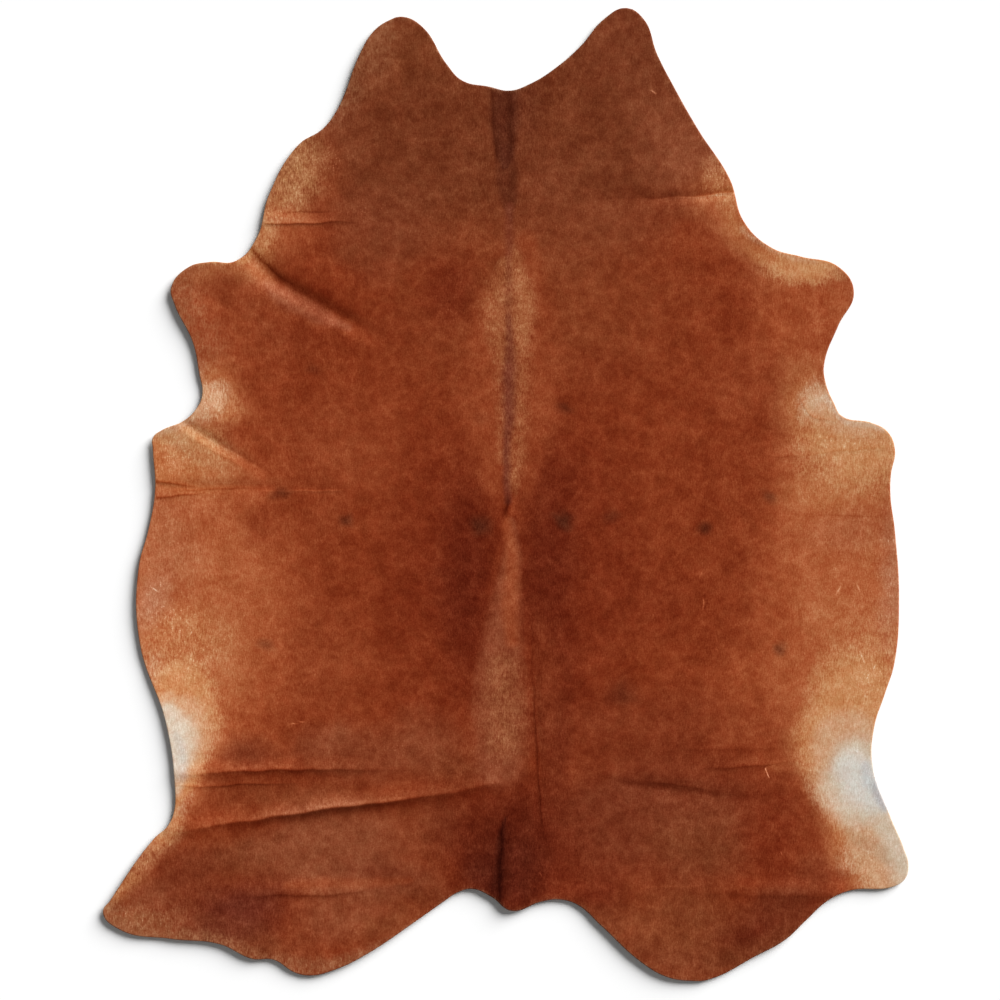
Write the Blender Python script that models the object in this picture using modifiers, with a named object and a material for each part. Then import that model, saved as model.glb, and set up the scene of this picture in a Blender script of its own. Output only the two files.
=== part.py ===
"""A whole hair-on cattle hide laid out flat as a rug, hair side up, neck towards +Y.

Metres, +Z up. The origin lies under the middle of the hide's outline, on the surface it rests on.
The hide is one piece of leather with its hair on, cut along its edge, with nothing sewn or fitted.
Its middle lies flat on the ground. The creases left by packing stand up as low hollow folds, and the
cut edge curls up a little where the leather has dried.
"""

from collections import namedtuple
from math import cos, pi

import bmesh
import bpy
from mathutils import Vector

# Sizes, in metres
THICKNESS = 0.003  # leather with its short hair lying flat
MESH_SPACING = 0.050  # on the flat parts
EDGE_STEPS = 5  # points from one landmark of the edge to the next
SNAP = 0.0015  # a cut this close to a point goes through that point
EDGE_CURL_REACH = 0.190  # how far in from the edge a curled part starts to rise
BANK_REACH = 6.0  # a crease's raised banks reach this many times its half width

HAIR_COLOR = (0.26, 0.055, 0.017, 1.0)
HAIR_ROUGHNESS = 0.62

# The cut edge, clockwise from the left neck lobe as seen from above: x and y of each landmark.
EDGE = {
    "left neck lobe": [(-0.328, 0.998), (-0.299, 1.046), (-0.265, 1.071), (-0.233, 1.080), (-0.190, 1.059)],
    "neck hollow": [(-0.133, 0.973), (-0.099, 0.937), (-0.038, 0.923), (0.010, 0.914), (0.055, 0.929)],
    "right neck lobe": [(0.112, 0.964), (0.170, 1.014), (0.223, 1.075), (0.272, 1.100), (0.311, 1.077)],
    "right of the neck": [(0.343, 0.996), (0.383, 0.919), (0.436, 0.826), (0.508, 0.713), (0.540, 0.617)],
    "right foreleg": [(0.603, 0.558), (0.669, 0.538), (0.753, 0.515), (0.788, 0.459), (0.753, 0.382)],
    "right armpit": [(0.721, 0.293), (0.724, 0.255), (0.744, 0.205), (0.760, 0.178)],
    "right elbow": [(0.830, 0.161), (0.864, 0.142), (0.881, 0.101), (0.872, 0.045), (0.871, -0.003)],
    "right belly": [(0.881, -0.080), (0.891, -0.235), (0.880, -0.384), (0.859, -0.450)],
    "right flank": [(0.834, -0.527), (0.830, -0.611), (0.872, -0.733)],
    "right hind leg": [(0.900, -0.799), (0.911, -0.837), (0.905, -0.867), (0.882, -0.885)],
    "right thigh": [(0.775, -0.897), (0.728, -0.919), (0.680, -0.962), (0.632, -1.007), (0.567, -1.043)],
    "right buttock": [(0.456, -1.098), (0.419, -1.100), (0.365, -1.091), (0.309, -1.059)],
    "tail": [(0.214, -0.973), (0.164, -0.929), (0.121, -0.916), (0.080, -0.921), (0.014, -0.941)],
    "tail notch": [(-0.033, -0.909), (-0.074, -0.892), (-0.104, -0.898)],
    "left of the tail": [(-0.143, -0.923), (-0.203, -0.965), (-0.317, -1.041)],
    "left buttock": [(-0.387, -1.075), (-0.441, -1.088), (-0.475, -1.082), (-0.525, -1.052)],
    "left thigh": [(-0.572, -1.050), (-0.645, -1.017), (-0.756, -1.005)],
    "left hind leg": [
        (-0.872, -0.984), (-0.910, -0.944), (-0.894, -0.919),
        (-0.794, -0.778), (-0.763, -0.749),
    ],
    "left flank": [(-0.749, -0.715), (-0.747, -0.667), (-0.768, -0.515)],
    "left belly": [(-0.826, -0.341), (-0.829, -0.164), (-0.808, -0.083), (-0.792, 0.012)],
    "left elbow": [(-0.797, 0.103), (-0.797, 0.128), (-0.774, 0.146), (-0.731, 0.164)],
    "left armpit": [(-0.702, 0.189), (-0.686, 0.223), (-0.693, 0.275), (-0.706, 0.341)],
    "left foreleg": [(-0.749, 0.432), (-0.756, 0.466), (-0.717, 0.513), (-0.669, 0.525), (-0.611, 0.527)],
    "left of the neck": [
        (-0.564, 0.577), (-0.534, 0.679), (-0.466, 0.792),
        (-0.414, 0.826), (-0.380, 0.871),
    ],
}

# Folds: a ridge is a low wave, a crease is a groove between two low banks.
# Its half width, and its route as rows of x, y and height.
Fold = namedtuple("Fold", "name kind half_width route")
FOLDS = [
    Fold("shoulder crease", "crease", 0.030,
         [(-0.589, 0.549, 0.0014), (-0.536, 0.495, 0.0030), (-0.484, 0.461, 0.0038),
          (-0.371, 0.398, 0.0028), (-0.267, 0.350, 0.0000)]),
    Fold("elbow crease", "crease", 0.020,
         [(-0.731, 0.164, 0.0018), (-0.659, 0.117, 0.0022), (-0.518, 0.037, 0.0000)]),
    Fold("belly crease", "crease", 0.020,
         [(-0.790, 0.017, 0.0014), (-0.557, 0.019, 0.0014), (-0.348, 0.022, 0.0000)]),
    Fold("left neck crease", "ridge", 0.022,
         [(-0.552, 0.622, 0.0018), (-0.466, 0.622, 0.0018), (-0.339, 0.626, 0.0000)]),
    Fold("right neck crease", "crease", 0.018,
         [(0.214, 0.667, 0.0000), (0.417, 0.674, 0.0014), (0.522, 0.685, 0.0018)]),
    Fold("neck line", "crease", 0.018,
         [(-0.002, 0.912, 0.0010), (0.005, 0.781, 0.0012), (0.007, 0.633, 0.0000)]),
    Fold("back line", "crease", 0.018,
         [(0.057, -0.216, 0.0000), (0.064, -0.466, 0.0014), (0.080, -0.760, 0.0000)]),
    Fold("upper rump fold", "ridge", 0.026,
         [(-0.752, -0.629, 0.0016), (-0.466, -0.617, 0.0020), (-0.240, -0.613, 0.0000)]),
    Fold("lower rump fold", "ridge", 0.030,
         [(-0.756, -0.760, 0.0016), (-0.591, -0.731, 0.0026),
          (-0.308, -0.690, 0.0026), (-0.013, -0.647, 0.0000)]),
    Fold("right rump fold", "ridge", 0.032,
         [(0.180, -0.629, 0.0000), (0.395, -0.645, 0.0020), (0.587, -0.665, 0.0000)]),
    Fold("left thigh fold", "ridge", 0.028,
         [(-0.636, -0.894, 0.0000), (-0.466, -0.892, 0.0018), (-0.296, -0.878, 0.0000)]),
    Fold("right thigh fold", "ridge", 0.026,
         [(0.417, -0.889, 0.0000), (0.565, -0.889, 0.0018), (0.753, -0.896, 0.0018)]),
    Fold("tail crease", "ridge", 0.032,
         [(0.014, -0.726, 0.0000), (0.012, -0.828, 0.0028), (0.005, -0.937, 0.0030)]),
]

# Parts of the edge that curl up from the ground: x, y, radius and height.
Curl = namedtuple("Curl", "name x y radius height")
CURLS = [
    Curl("left neck lobe", -0.330, 0.980, 0.36, 0.010),
    Curl("left of the neck", -0.520, 0.700, 0.46, 0.010),
    Curl("left foreleg", -0.750, 0.430, 0.46, 0.012),
    Curl("left elbow", -0.800, 0.100, 0.46, 0.011),
    Curl("left belly", -0.830, -0.200, 0.50, 0.012),
    Curl("left flank", -0.760, -0.560, 0.50, 0.012),
    Curl("left hind leg", -0.880, -0.900, 0.46, 0.011),
    Curl("left thigh", -0.640, -1.010, 0.46, 0.012),
    Curl("left buttock", -0.300, -1.020, 0.46, 0.012),
    Curl("tail", 0.000, -0.910, 0.42, 0.011),
    Curl("right buttock", 0.300, -1.040, 0.46, 0.012),
    Curl("right thigh", 0.640, -1.000, 0.46, 0.011),
    Curl("right hind leg", 0.880, -0.880, 0.36, 0.008),
    Curl("right flank", 0.860, -0.620, 0.34, 0.006),
    Curl("right elbow", 0.870, 0.080, 0.30, 0.005),
    Curl("right foreleg", 0.780, 0.440, 0.30, 0.005),
    Curl("right neck lobe", 0.250, 1.080, 0.30, 0.006),
]


def clear_scene():
    for old in list(bpy.data.objects):
        bpy.data.objects.remove(old, do_unlink=True)


def edge_curve():
    """The cut edge as a closed curve that turns smoothly through its landmarks."""
    landmarks = [point for stretch in EDGE.values() for point in stretch]
    curve = bpy.data.curves.new("edge", "CURVE")
    curve.resolution_u = EDGE_STEPS
    spline = curve.splines.new("BEZIER")
    spline.bezier_points.add(len(landmarks) - 1)
    spline.use_cyclic_u = True
    for bezier_point, (x, y) in zip(spline.bezier_points, landmarks):
        bezier_point.co = (x, y, 0.0)
        bezier_point.handle_left_type = "AUTO"
        bezier_point.handle_right_type = "AUTO"
    return bpy.data.objects.new("edge", curve)


def edge_points(collection):
    """The points along the edge, moved so that the outline's middle is at the origin."""
    curve_object = edge_curve()
    collection.objects.link(curve_object)
    bpy.context.view_layer.update()
    graph = bpy.context.evaluated_depsgraph_get()
    mesh = bpy.data.meshes.new_from_object(curve_object.evaluated_get(graph))
    points = [vertex.co.copy() for vertex in mesh.vertices]
    bpy.data.objects.remove(curve_object, do_unlink=True)
    bpy.data.meshes.remove(mesh)
    middle = Vector((
        (min(p.x for p in points) + max(p.x for p in points)) / 2,
        (min(p.y for p in points) + max(p.y for p in points)) / 2,
        0.0,
    ))
    return [point - middle for point in points]


def cut(sheet, point, across, faces=None):
    """Cuts the faces, or all of them, along the upright plane through the point, square to `across`."""
    chosen = faces if faces is not None else sheet.faces
    geometry = list(chosen)
    geometry += {edge for face in chosen for edge in face.edges}
    geometry += {vertex for face in chosen for vertex in face.verts}
    bmesh.ops.bisect_plane(sheet, geom=geometry, dist=SNAP, plane_co=point, plane_no=across)


def cut_grid(sheet, points):
    """Divides the outline's one face into squares of about the mesh spacing."""
    for axis in (Vector((1, 0, 0)), Vector((0, 1, 0))):
        reach = max(point.dot(axis) for point in points)
        lines = int(reach / MESH_SPACING)
        for line in range(-lines, lines + 1):
            cut(sheet, axis * (line * MESH_SPACING), axis)


def stretches(fold):
    """The fold's straight stretches, each as its two ends (x, y, height)."""
    return list(zip(fold.route, fold.route[1:]))


def fold_offsets(fold):
    """How far from its middle line a fold needs a row of points, to each side."""
    if fold.kind == "ridge":
        return [0.0, 0.5 * fold.half_width, fold.half_width]
    return [0.0, 0.5 * fold.half_width, fold.half_width, 0.4 * BANK_REACH * fold.half_width]


def cut_fold(sheet, fold):
    """Adds rows of points along a fold, only in the faces that it crosses."""
    reach = fold_offsets(fold)[-1]
    for start, end in stretches(fold):
        start_point = Vector((start[0], start[1], 0.0))
        along = Vector((end[0] - start[0], end[1] - start[1], 0.0))
        length = along.length
        along.normalize()
        across = Vector((-along.y, along.x, 0.0))
        for offset in fold_offsets(fold):
            for side in ((1, -1) if offset else (1,)):
                crossed = []
                for face in sheet.faces:
                    to_face = face.calc_center_median() - start_point
                    beside = abs(to_face.dot(across)) < reach + MESH_SPACING
                    if beside and -MESH_SPACING / 2 < to_face.dot(along) < length + MESH_SPACING / 2:
                        crossed.append(face)
                cut(sheet, start_point + across * (side * offset), across, crossed)


def swell(distance, reach):
    """1 at no distance, falling smoothly to 0 at the reach."""
    return 0.5 + 0.5 * cos(pi * min(distance / reach, 1.0))


def nearest_on_route(fold, x, y):
    """(distance from the fold's route, the route's height there)."""
    best = (1e9, 0.0)
    for (x0, y0, height0), (x1, y1, height1) in stretches(fold):
        along_x, along_y = x1 - x0, y1 - y0
        share = ((x - x0) * along_x + (y - y0) * along_y) / (along_x ** 2 + along_y ** 2)
        share = min(max(share, 0.0), 1.0)
        distance = ((x - x0 - share * along_x) ** 2 + (y - y0 - share * along_y) ** 2) ** 0.5
        best = min(best, (distance, height0 + share * (height1 - height0)))
    return best


def fold_height(fold, x, y):
    distance, height = nearest_on_route(fold, x, y)
    if fold.kind == "ridge":
        return height * swell(distance, fold.half_width)
    banks = swell(distance, BANK_REACH * fold.half_width)
    return height * (banks - swell(distance, fold.half_width))


def curl_height(x, y, edge_distance):
    """How far the edge's curl lifts a point."""
    inward = max(1.0 - edge_distance / EDGE_CURL_REACH, 0.0) ** 2
    lifts = [
        curl.height * swell(((x - curl.x) ** 2 + (y - curl.y) ** 2) ** 0.5, curl.radius)
        for curl in CURLS
    ]
    return inward * max(lifts)


def raise_folds(sheet, outline):
    """Lifts the sheet's points to the height of the folds and curls."""
    for vertex in sheet.verts:
        x, y = vertex.co.x, vertex.co.y
        edge_distance = min(
            (x - point.x) ** 2 + (y - point.y) ** 2 for point in outline
        ) ** 0.5
        folds = sum(fold_height(fold, x, y) for fold in FOLDS)
        vertex.co.z = max(folds, 0.0) + curl_height(x, y, edge_distance)


def hair_material():
    material = bpy.data.materials.new("russet_hair")
    material.use_nodes = True
    shader = material.node_tree.nodes["Principled BSDF"]
    shader.inputs["Base Color"].default_value = HAIR_COLOR
    shader.inputs["Roughness"].default_value = HAIR_ROUGHNESS
    shader.inputs["Metallic"].default_value = 0.0
    return material


def make_hide(collection):
    """The whole hide: the outline's face, cut into a mesh, folded and given its thickness."""
    outline = edge_points(collection)
    sheet = bmesh.new()
    sheet.faces.new([sheet.verts.new(point) for point in outline])
    sheet.normal_update()
    if sheet.faces[:][0].normal.z < 0:
        bmesh.ops.reverse_faces(sheet, faces=sheet.faces[:])
    cut_grid(sheet, outline)
    for fold in FOLDS:
        cut_fold(sheet, fold)
    raise_folds(sheet, outline)

    mesh = bpy.data.meshes.new("hide")
    sheet.to_mesh(mesh)
    sheet.free()
    mesh.materials.append(hair_material())
    mesh.shade_smooth()
    hide = bpy.data.objects.new("hide", mesh)
    collection.objects.link(hide)
    solidify = hide.modifiers.new("thickness", "SOLIDIFY")
    solidify.thickness = THICKNESS
    solidify.offset = 1.0
    return hide


def main():
    clear_scene()
    collection = bpy.data.collections.new("cattle_hide")
    bpy.context.scene.collection.children.link(collection)
    make_hide(collection)


main()
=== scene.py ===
# %% [markdown]
# # A whole hair-on cattle hide, laid out as a rug
#
# A hide rug is one piece of leather, tanned with its hair left on and cut along the animal's own outline.
# Nothing is sewn to it, so all that the eye sees is in three things: the outline, the low folds that
# packing has left in the sheet, and the coat, whose colour changes from place to place as it did on the
# animal. The frame comes first. It holds the hide's plain solid, and the finished sheet is measured against
# it.

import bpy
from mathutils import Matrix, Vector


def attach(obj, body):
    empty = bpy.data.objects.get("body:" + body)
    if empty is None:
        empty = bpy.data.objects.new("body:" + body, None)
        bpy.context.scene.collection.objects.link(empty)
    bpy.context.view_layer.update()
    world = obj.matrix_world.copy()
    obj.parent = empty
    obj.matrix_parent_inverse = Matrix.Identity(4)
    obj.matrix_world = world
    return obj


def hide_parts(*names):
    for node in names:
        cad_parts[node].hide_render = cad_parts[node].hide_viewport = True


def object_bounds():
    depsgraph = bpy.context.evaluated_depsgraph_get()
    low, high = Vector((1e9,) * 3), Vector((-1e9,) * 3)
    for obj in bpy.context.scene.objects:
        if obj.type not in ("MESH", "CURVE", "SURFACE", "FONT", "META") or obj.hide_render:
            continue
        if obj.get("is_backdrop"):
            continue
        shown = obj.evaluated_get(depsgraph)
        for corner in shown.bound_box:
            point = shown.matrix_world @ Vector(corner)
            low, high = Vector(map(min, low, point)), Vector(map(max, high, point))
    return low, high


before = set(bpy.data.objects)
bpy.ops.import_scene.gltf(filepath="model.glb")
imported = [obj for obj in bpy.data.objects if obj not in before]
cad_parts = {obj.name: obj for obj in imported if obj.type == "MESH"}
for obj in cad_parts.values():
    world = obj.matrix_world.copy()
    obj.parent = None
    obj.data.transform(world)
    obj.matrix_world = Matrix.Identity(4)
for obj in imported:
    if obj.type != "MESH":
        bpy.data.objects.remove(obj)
cad_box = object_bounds()
print("solids:", list(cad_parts))
print("from", tuple(round(v, 3) for v in cad_box[0]), "to", tuple(round(v, 3) for v in cad_box[1]))

# %% [markdown]
# ## The outline
#
# A cutter follows the edge with a knife in long smooth strokes, round each lobe where a leg or the neck
# was. The edge could be drawn as many short straight sides, but their corners would show where light grazes
# the rim. Here a Bezier curve with automatic handles runs through a few landmarks, as the knife did. They
# are the solid's own landmarks, a row for each part of the body: x and y in metres, clockwise from the left
# neck lobe.

# %% Landmarks of the edge
EDGE = {
    "left neck lobe": [(-0.328, 0.998), (-0.299, 1.046), (-0.265, 1.071), (-0.233, 1.080), (-0.190, 1.059)],
    "neck hollow": [(-0.133, 0.973), (-0.099, 0.937), (-0.038, 0.923), (0.010, 0.914), (0.055, 0.929)],
    "right neck lobe": [(0.112, 0.964), (0.170, 1.014), (0.223, 1.075), (0.272, 1.100), (0.311, 1.077)],
    "right of the neck": [(0.343, 0.996), (0.383, 0.919), (0.436, 0.826), (0.508, 0.713), (0.540, 0.617)],
    "right foreleg": [(0.603, 0.558), (0.669, 0.538), (0.753, 0.515), (0.788, 0.459), (0.753, 0.382)],
    "right armpit": [(0.721, 0.293), (0.724, 0.255), (0.744, 0.205), (0.760, 0.178)],
    "right elbow": [(0.830, 0.161), (0.864, 0.142), (0.881, 0.101), (0.872, 0.045), (0.871, -0.003)],
    "right belly": [(0.881, -0.080), (0.891, -0.235), (0.880, -0.384), (0.859, -0.450)],
    "right flank": [(0.834, -0.527), (0.830, -0.611), (0.872, -0.733)],
    "right hind leg": [(0.900, -0.799), (0.911, -0.837), (0.905, -0.867), (0.882, -0.885)],
    "right thigh": [(0.775, -0.897), (0.728, -0.919), (0.680, -0.962), (0.632, -1.007), (0.567, -1.043)],
    "right buttock": [(0.456, -1.098), (0.419, -1.100), (0.365, -1.091), (0.309, -1.059)],
    "tail": [(0.214, -0.973), (0.164, -0.929), (0.121, -0.916), (0.080, -0.921), (0.014, -0.941)],
    "tail notch": [(-0.033, -0.909), (-0.074, -0.892), (-0.104, -0.898)],
    "left of the tail": [(-0.143, -0.923), (-0.203, -0.965), (-0.317, -1.041)],
    "left buttock": [(-0.387, -1.075), (-0.441, -1.088), (-0.475, -1.082), (-0.525, -1.052)],
    "left thigh": [(-0.572, -1.050), (-0.645, -1.017), (-0.756, -1.005)],
    "left hind leg": [
        (-0.872, -0.984), (-0.910, -0.944), (-0.894, -0.919), (-0.794, -0.778), (-0.763, -0.749),
    ],
    "left flank": [(-0.749, -0.715), (-0.747, -0.667), (-0.768, -0.515)],
    "left belly": [(-0.826, -0.341), (-0.829, -0.164), (-0.808, -0.083), (-0.792, 0.012)],
    "left elbow": [(-0.797, 0.103), (-0.797, 0.128), (-0.774, 0.146), (-0.731, 0.164)],
    "left armpit": [(-0.702, 0.189), (-0.686, 0.223), (-0.693, 0.275), (-0.706, 0.341)],
    "left foreleg": [(-0.749, 0.432), (-0.756, 0.466), (-0.717, 0.513), (-0.669, 0.525), (-0.611, 0.527)],
    "left of the neck": [
        (-0.564, 0.577), (-0.534, 0.679), (-0.466, 0.792), (-0.414, 0.826), (-0.380, 0.871),
    ],
}
print(sum(len(row) for row in EDGE.values()), "landmarks in", len(EDGE), "rows")

# %% [markdown]
# The curve is then marked off again in even steps, so that the rim gets an even row of points. Blender
# draws more points where the landmarks are close together, and the mesh would be crowded there without
# this.

# %% The knife's line
import math

import bpy
import numpy as np

CURVE_STEPS = 24  # points that Blender draws from one landmark to the next
EDGE_SPACING = 0.006


def placed(name, data):
    """A new object in the scene, which shows this data."""
    made = bpy.data.objects.new(name, data)
    bpy.context.scene.collection.objects.link(made)
    return made


def knife_line(landmarks):
    """Points along the closed curve through the landmarks, with their middle at the origin."""
    curve = bpy.data.curves.new("edge", "CURVE")
    curve.resolution_u = CURVE_STEPS
    spline = curve.splines.new("BEZIER")
    spline.bezier_points.add(len(landmarks) - 1)
    spline.use_cyclic_u = True
    for point, (x, y) in zip(spline.bezier_points, landmarks):
        point.co = (x, y, 0.0)
        point.handle_left_type = "AUTO"
        point.handle_right_type = "AUTO"
    curve_object = placed("edge", curve)
    bpy.context.view_layer.update()
    drawn = curve_object.to_mesh()
    points = np.array([vertex.co[:2] for vertex in drawn.vertices])
    bpy.data.objects.remove(curve_object)
    return points - (points.min(axis=0) + points.max(axis=0)) / 2


def lengths_along(loop):
    """The distance from the first point to each of the others and, last, right round to the first again."""
    sides = np.linalg.norm(np.roll(loop, -1, axis=0) - loop, axis=1)
    return np.concatenate([[0], np.cumsum(sides)])


def even_steps(loop, spacing):
    """The loop again, with points about the spacing apart."""
    so_far = lengths_along(loop)
    wanted = np.linspace(0, so_far[-1], int(so_far[-1] / spacing), endpoint=False)
    around = np.concatenate([loop, loop[:1]])
    return np.stack([np.interp(wanted, so_far, around[:, k]) for k in (0, 1)], axis=1)


def area_inside(loop):
    """The area inside the loop, positive when the loop runs anticlockwise."""
    ahead = np.roll(loop, -1, axis=0)
    return np.sum(loop[:, 0] * ahead[:, 1] - loop[:, 1] * ahead[:, 0]) / 2


edge = even_steps(knife_line([point for row in EDGE.values() for point in row]), EDGE_SPACING)
if area_inside(edge) < 0:
    edge = edge[::-1]
print(f"edge {lengths_along(edge)[-1]:.2f} m in {len(edge)} points, flat area {area_inside(edge):.3f} m2")

# %% [markdown]
# ## The folds
#
# A hide is sold folded or rolled, and it keeps the marks: low waves across the rump and by the tail,
# grooves at the shoulder, elbow, belly and neck, and an edge that curls up a little where the leather has
# dried. They could be sculpted by hand. A table and a formula are used instead, because a fold can then be
# changed by one number and comes out the same in each run. The solid has the same folds in coarse facets.
#
# A ridge is one low wave. A crease is a groove between two low banks. Each row has the fold's half width
# and its route, as places with the height that the fold has there, in metres.

# %% The folds and their routes
from collections import namedtuple

Fold = namedtuple("Fold", "name kind half_width route")
FOLDS = [
    Fold("shoulder crease", "crease", 0.030,
         [(-0.589, 0.549, 0.0014), (-0.536, 0.495, 0.0030), (-0.484, 0.461, 0.0038),
          (-0.371, 0.398, 0.0028), (-0.267, 0.350, 0)]),
    Fold("elbow crease", "crease", 0.020,
         [(-0.731, 0.164, 0.0018), (-0.659, 0.117, 0.0022), (-0.518, 0.037, 0)]),
    Fold("belly crease", "crease", 0.020,
         [(-0.790, 0.017, 0.0014), (-0.557, 0.019, 0.0014), (-0.348, 0.022, 0)]),
    Fold("left neck crease", "ridge", 0.022,
         [(-0.552, 0.622, 0.0018), (-0.466, 0.622, 0.0018), (-0.339, 0.626, 0)]),
    Fold("right neck crease", "crease", 0.018,
         [(0.214, 0.667, 0), (0.417, 0.674, 0.0014), (0.522, 0.685, 0.0018)]),
    Fold("neck line", "crease", 0.018,
         [(-0.002, 0.912, 0.0010), (0.005, 0.781, 0.0012), (0.007, 0.633, 0)]),
    Fold("back line", "crease", 0.018,
         [(0.057, -0.216, 0), (0.064, -0.466, 0.0014), (0.080, -0.760, 0)]),
    Fold("upper rump fold", "ridge", 0.026,
         [(-0.752, -0.629, 0.0016), (-0.466, -0.617, 0.0020), (-0.240, -0.613, 0)]),
    Fold("lower rump fold", "ridge", 0.030,
         [(-0.756, -0.760, 0.0016), (-0.591, -0.731, 0.0026), (-0.308, -0.690, 0.0026),
          (-0.013, -0.647, 0)]),
    Fold("right rump fold", "ridge", 0.032,
         [(0.180, -0.629, 0), (0.395, -0.645, 0.0020), (0.587, -0.665, 0)]),
    Fold("left thigh fold", "ridge", 0.028,
         [(-0.636, -0.894, 0), (-0.466, -0.892, 0.0018), (-0.296, -0.878, 0)]),
    Fold("right thigh fold", "ridge", 0.026,
         [(0.417, -0.889, 0), (0.565, -0.889, 0.0018), (0.753, -0.896, 0.0018)]),
    Fold("tail crease", "ridge", 0.032,
         [(0.014, -0.726, 0), (0.012, -0.828, 0.0028), (0.005, -0.937, 0.0030)]),
]
highest = max(FOLDS, key=lambda fold: max(height for _, _, height in fold.route))
print(len(FOLDS), "folds, the highest is the", highest.name)

# %% [markdown]
# To turn such a row into a shape, the route is first drawn as a smooth curve. The distance of each point of
# the sheet from that curve then gives its height, through a bell-shaped rise and fall.

# %% Heights of the folds
BANK_REACH = 6.0  # a crease's raised banks reach this many times its half width
FOLD_STEP = 0.02
FAR_AWAY = 1e9


def smooth_route(rows, spacing):
    """Catmull and Rom's smooth curve through the rows, with a row about every spacing."""
    rows = np.array(rows)
    padded = np.concatenate([rows[:1], rows, rows[-1:]])
    made = []
    for p0, p1, p2, p3 in zip(padded, padded[1:], padded[2:], padded[3:]):
        steps = max(int(math.dist(p1[:2], p2[:2]) / spacing), 1)
        t = np.linspace(0, 1, steps, endpoint=False)[:, None]
        bend = 2 * p0 - 5 * p1 + 4 * p2 - p3 + t * (3 * (p1 - p2) + p3 - p0)
        made.append(p1 + 0.5 * t * (p2 - p0 + t * bend))
    return np.concatenate(made + [rows[-1:]])


def swell(distance, reach):
    """1 at no distance, falling smoothly to 0 at the reach."""
    return 0.5 + 0.5 * np.cos(np.pi * np.minimum(distance / reach, 1.0))


def nearest_on_route(route, x, y, reach):
    """How far each place is from the route, to its left or right (+ or -), and the route's height there."""
    distance, side, height = np.full(len(x), FAR_AWAY), np.ones(len(x)), np.zeros(len(x))
    near = np.flatnonzero((x > route[:, 0].min() - reach) & (x < route[:, 0].max() + reach)
                          & (y > route[:, 1].min() - reach) & (y < route[:, 1].max() + reach))
    nx, ny = x[near], y[near]
    for (x0, y0, h0), (x1, y1, h1) in zip(route, route[1:]):
        dx, dy = x1 - x0, y1 - y0
        share = np.clip(((nx - x0) * dx + (ny - y0) * dy) / (dx * dx + dy * dy), 0, 1)
        here = np.hypot(nx - x0 - share * dx, ny - y0 - share * dy)
        closer = here < distance[near]
        chosen = near[closer]
        distance[chosen] = here[closer]
        side[chosen] = np.sign(dx * (ny - y0) - dy * (nx - x0))[closer]
        height[chosen] = (h0 + share * (h1 - h0))[closer]
    return distance, side, height


def fold_height(fold, x, y):
    """How high one fold lifts the sheet at each place. The groove of a crease stays down on the floor."""
    route = smooth_route(fold.route, FOLD_STEP)
    distance, _, height = nearest_on_route(route, x, y, BANK_REACH * fold.half_width)
    if fold.kind == "ridge":
        return height * swell(distance, fold.half_width)
    return height * (swell(distance, BANK_REACH * fold.half_width) - swell(distance, fold.half_width))


print(sum(fold.kind == "crease" for fold in FOLDS), "of the folds are grooves between two banks")

# %% [markdown]
# The edge doesn't lie quite flat either. Tanned leather dries first at its cut edge, and pulls itself
# upwards there. Each row names a stretch that has done so, with its middle, how far along the edge it goes,
# and the lift. The lift fades out towards the middle of the hide. It lets a soft shadow fall beside the
# sheet, which tells the eye that it is a thing that lies on the floor and not a print on it.

# %% Curls of the edge
from mathutils.kdtree import KDTree

Curl = namedtuple("Curl", "name x y radius height")
CURLS = [
    Curl("left neck lobe", -0.330, 0.980, 0.36, 0.010),
    Curl("left of the neck", -0.520, 0.700, 0.46, 0.010),
    Curl("left foreleg", -0.750, 0.430, 0.46, 0.012),
    Curl("left elbow", -0.800, 0.100, 0.46, 0.011),
    Curl("left belly", -0.830, -0.200, 0.50, 0.012),
    Curl("left flank", -0.760, -0.560, 0.50, 0.012),
    Curl("left hind leg", -0.880, -0.900, 0.46, 0.011),
    Curl("left thigh", -0.640, -1.010, 0.46, 0.012),
    Curl("left buttock", -0.300, -1.020, 0.46, 0.012),
    Curl("tail", 0.000, -0.910, 0.42, 0.011),
    Curl("right buttock", 0.300, -1.040, 0.46, 0.012),
    Curl("right thigh", 0.640, -1.000, 0.46, 0.011),
    Curl("right hind leg", 0.880, -0.880, 0.36, 0.008),
    Curl("right flank", 0.860, -0.620, 0.34, 0.006),
    Curl("right elbow", 0.870, 0.080, 0.30, 0.005),
    Curl("right foreleg", 0.780, 0.440, 0.30, 0.005),
    Curl("right neck lobe", 0.250, 1.080, 0.30, 0.006),
]
EDGE_CURL_REACH = 0.190  # how far in from the edge a curled part starts to rise


def tree_of(points):
    """The points in a tree, which finds the nearest of them quickly."""
    tree = KDTree(len(points))
    for i, (x, y) in enumerate(points):
        tree.insert((x, y, 0), i)
    tree.balance()
    return tree


def distance_to(tree, x, y):
    """How far each place is from the nearest point in the tree."""
    return np.array([tree.find((a, b, 0))[2] for a, b in zip(x, y)])


def curl_height(x, y, from_edge):
    """How high the curled edge is at each place. Where two curls meet, the higher one counts."""
    lift = np.zeros(len(x))
    for curl in CURLS:
        lift = np.maximum(lift, curl.height * swell(np.hypot(x - curl.x, y - curl.y), curl.radius))
    return lift * np.maximum(1 - from_edge / EDGE_CURL_REACH, 0) ** 2


def relief(x, y, from_edge):
    """Height of the sheet's underside above the floor."""
    height = sum(fold_height(fold, x, y) for fold in FOLDS)
    return np.maximum(height, 0) + curl_height(x, y, from_edge)


edge_tree = tree_of(edge)
at_edge = relief(edge[:, 0], edge[:, 1], np.zeros(len(edge)))
print(f"the edge is {1000 * at_edge.min():.1f} to {1000 * at_edge.max():.1f} mm above the floor")

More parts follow.
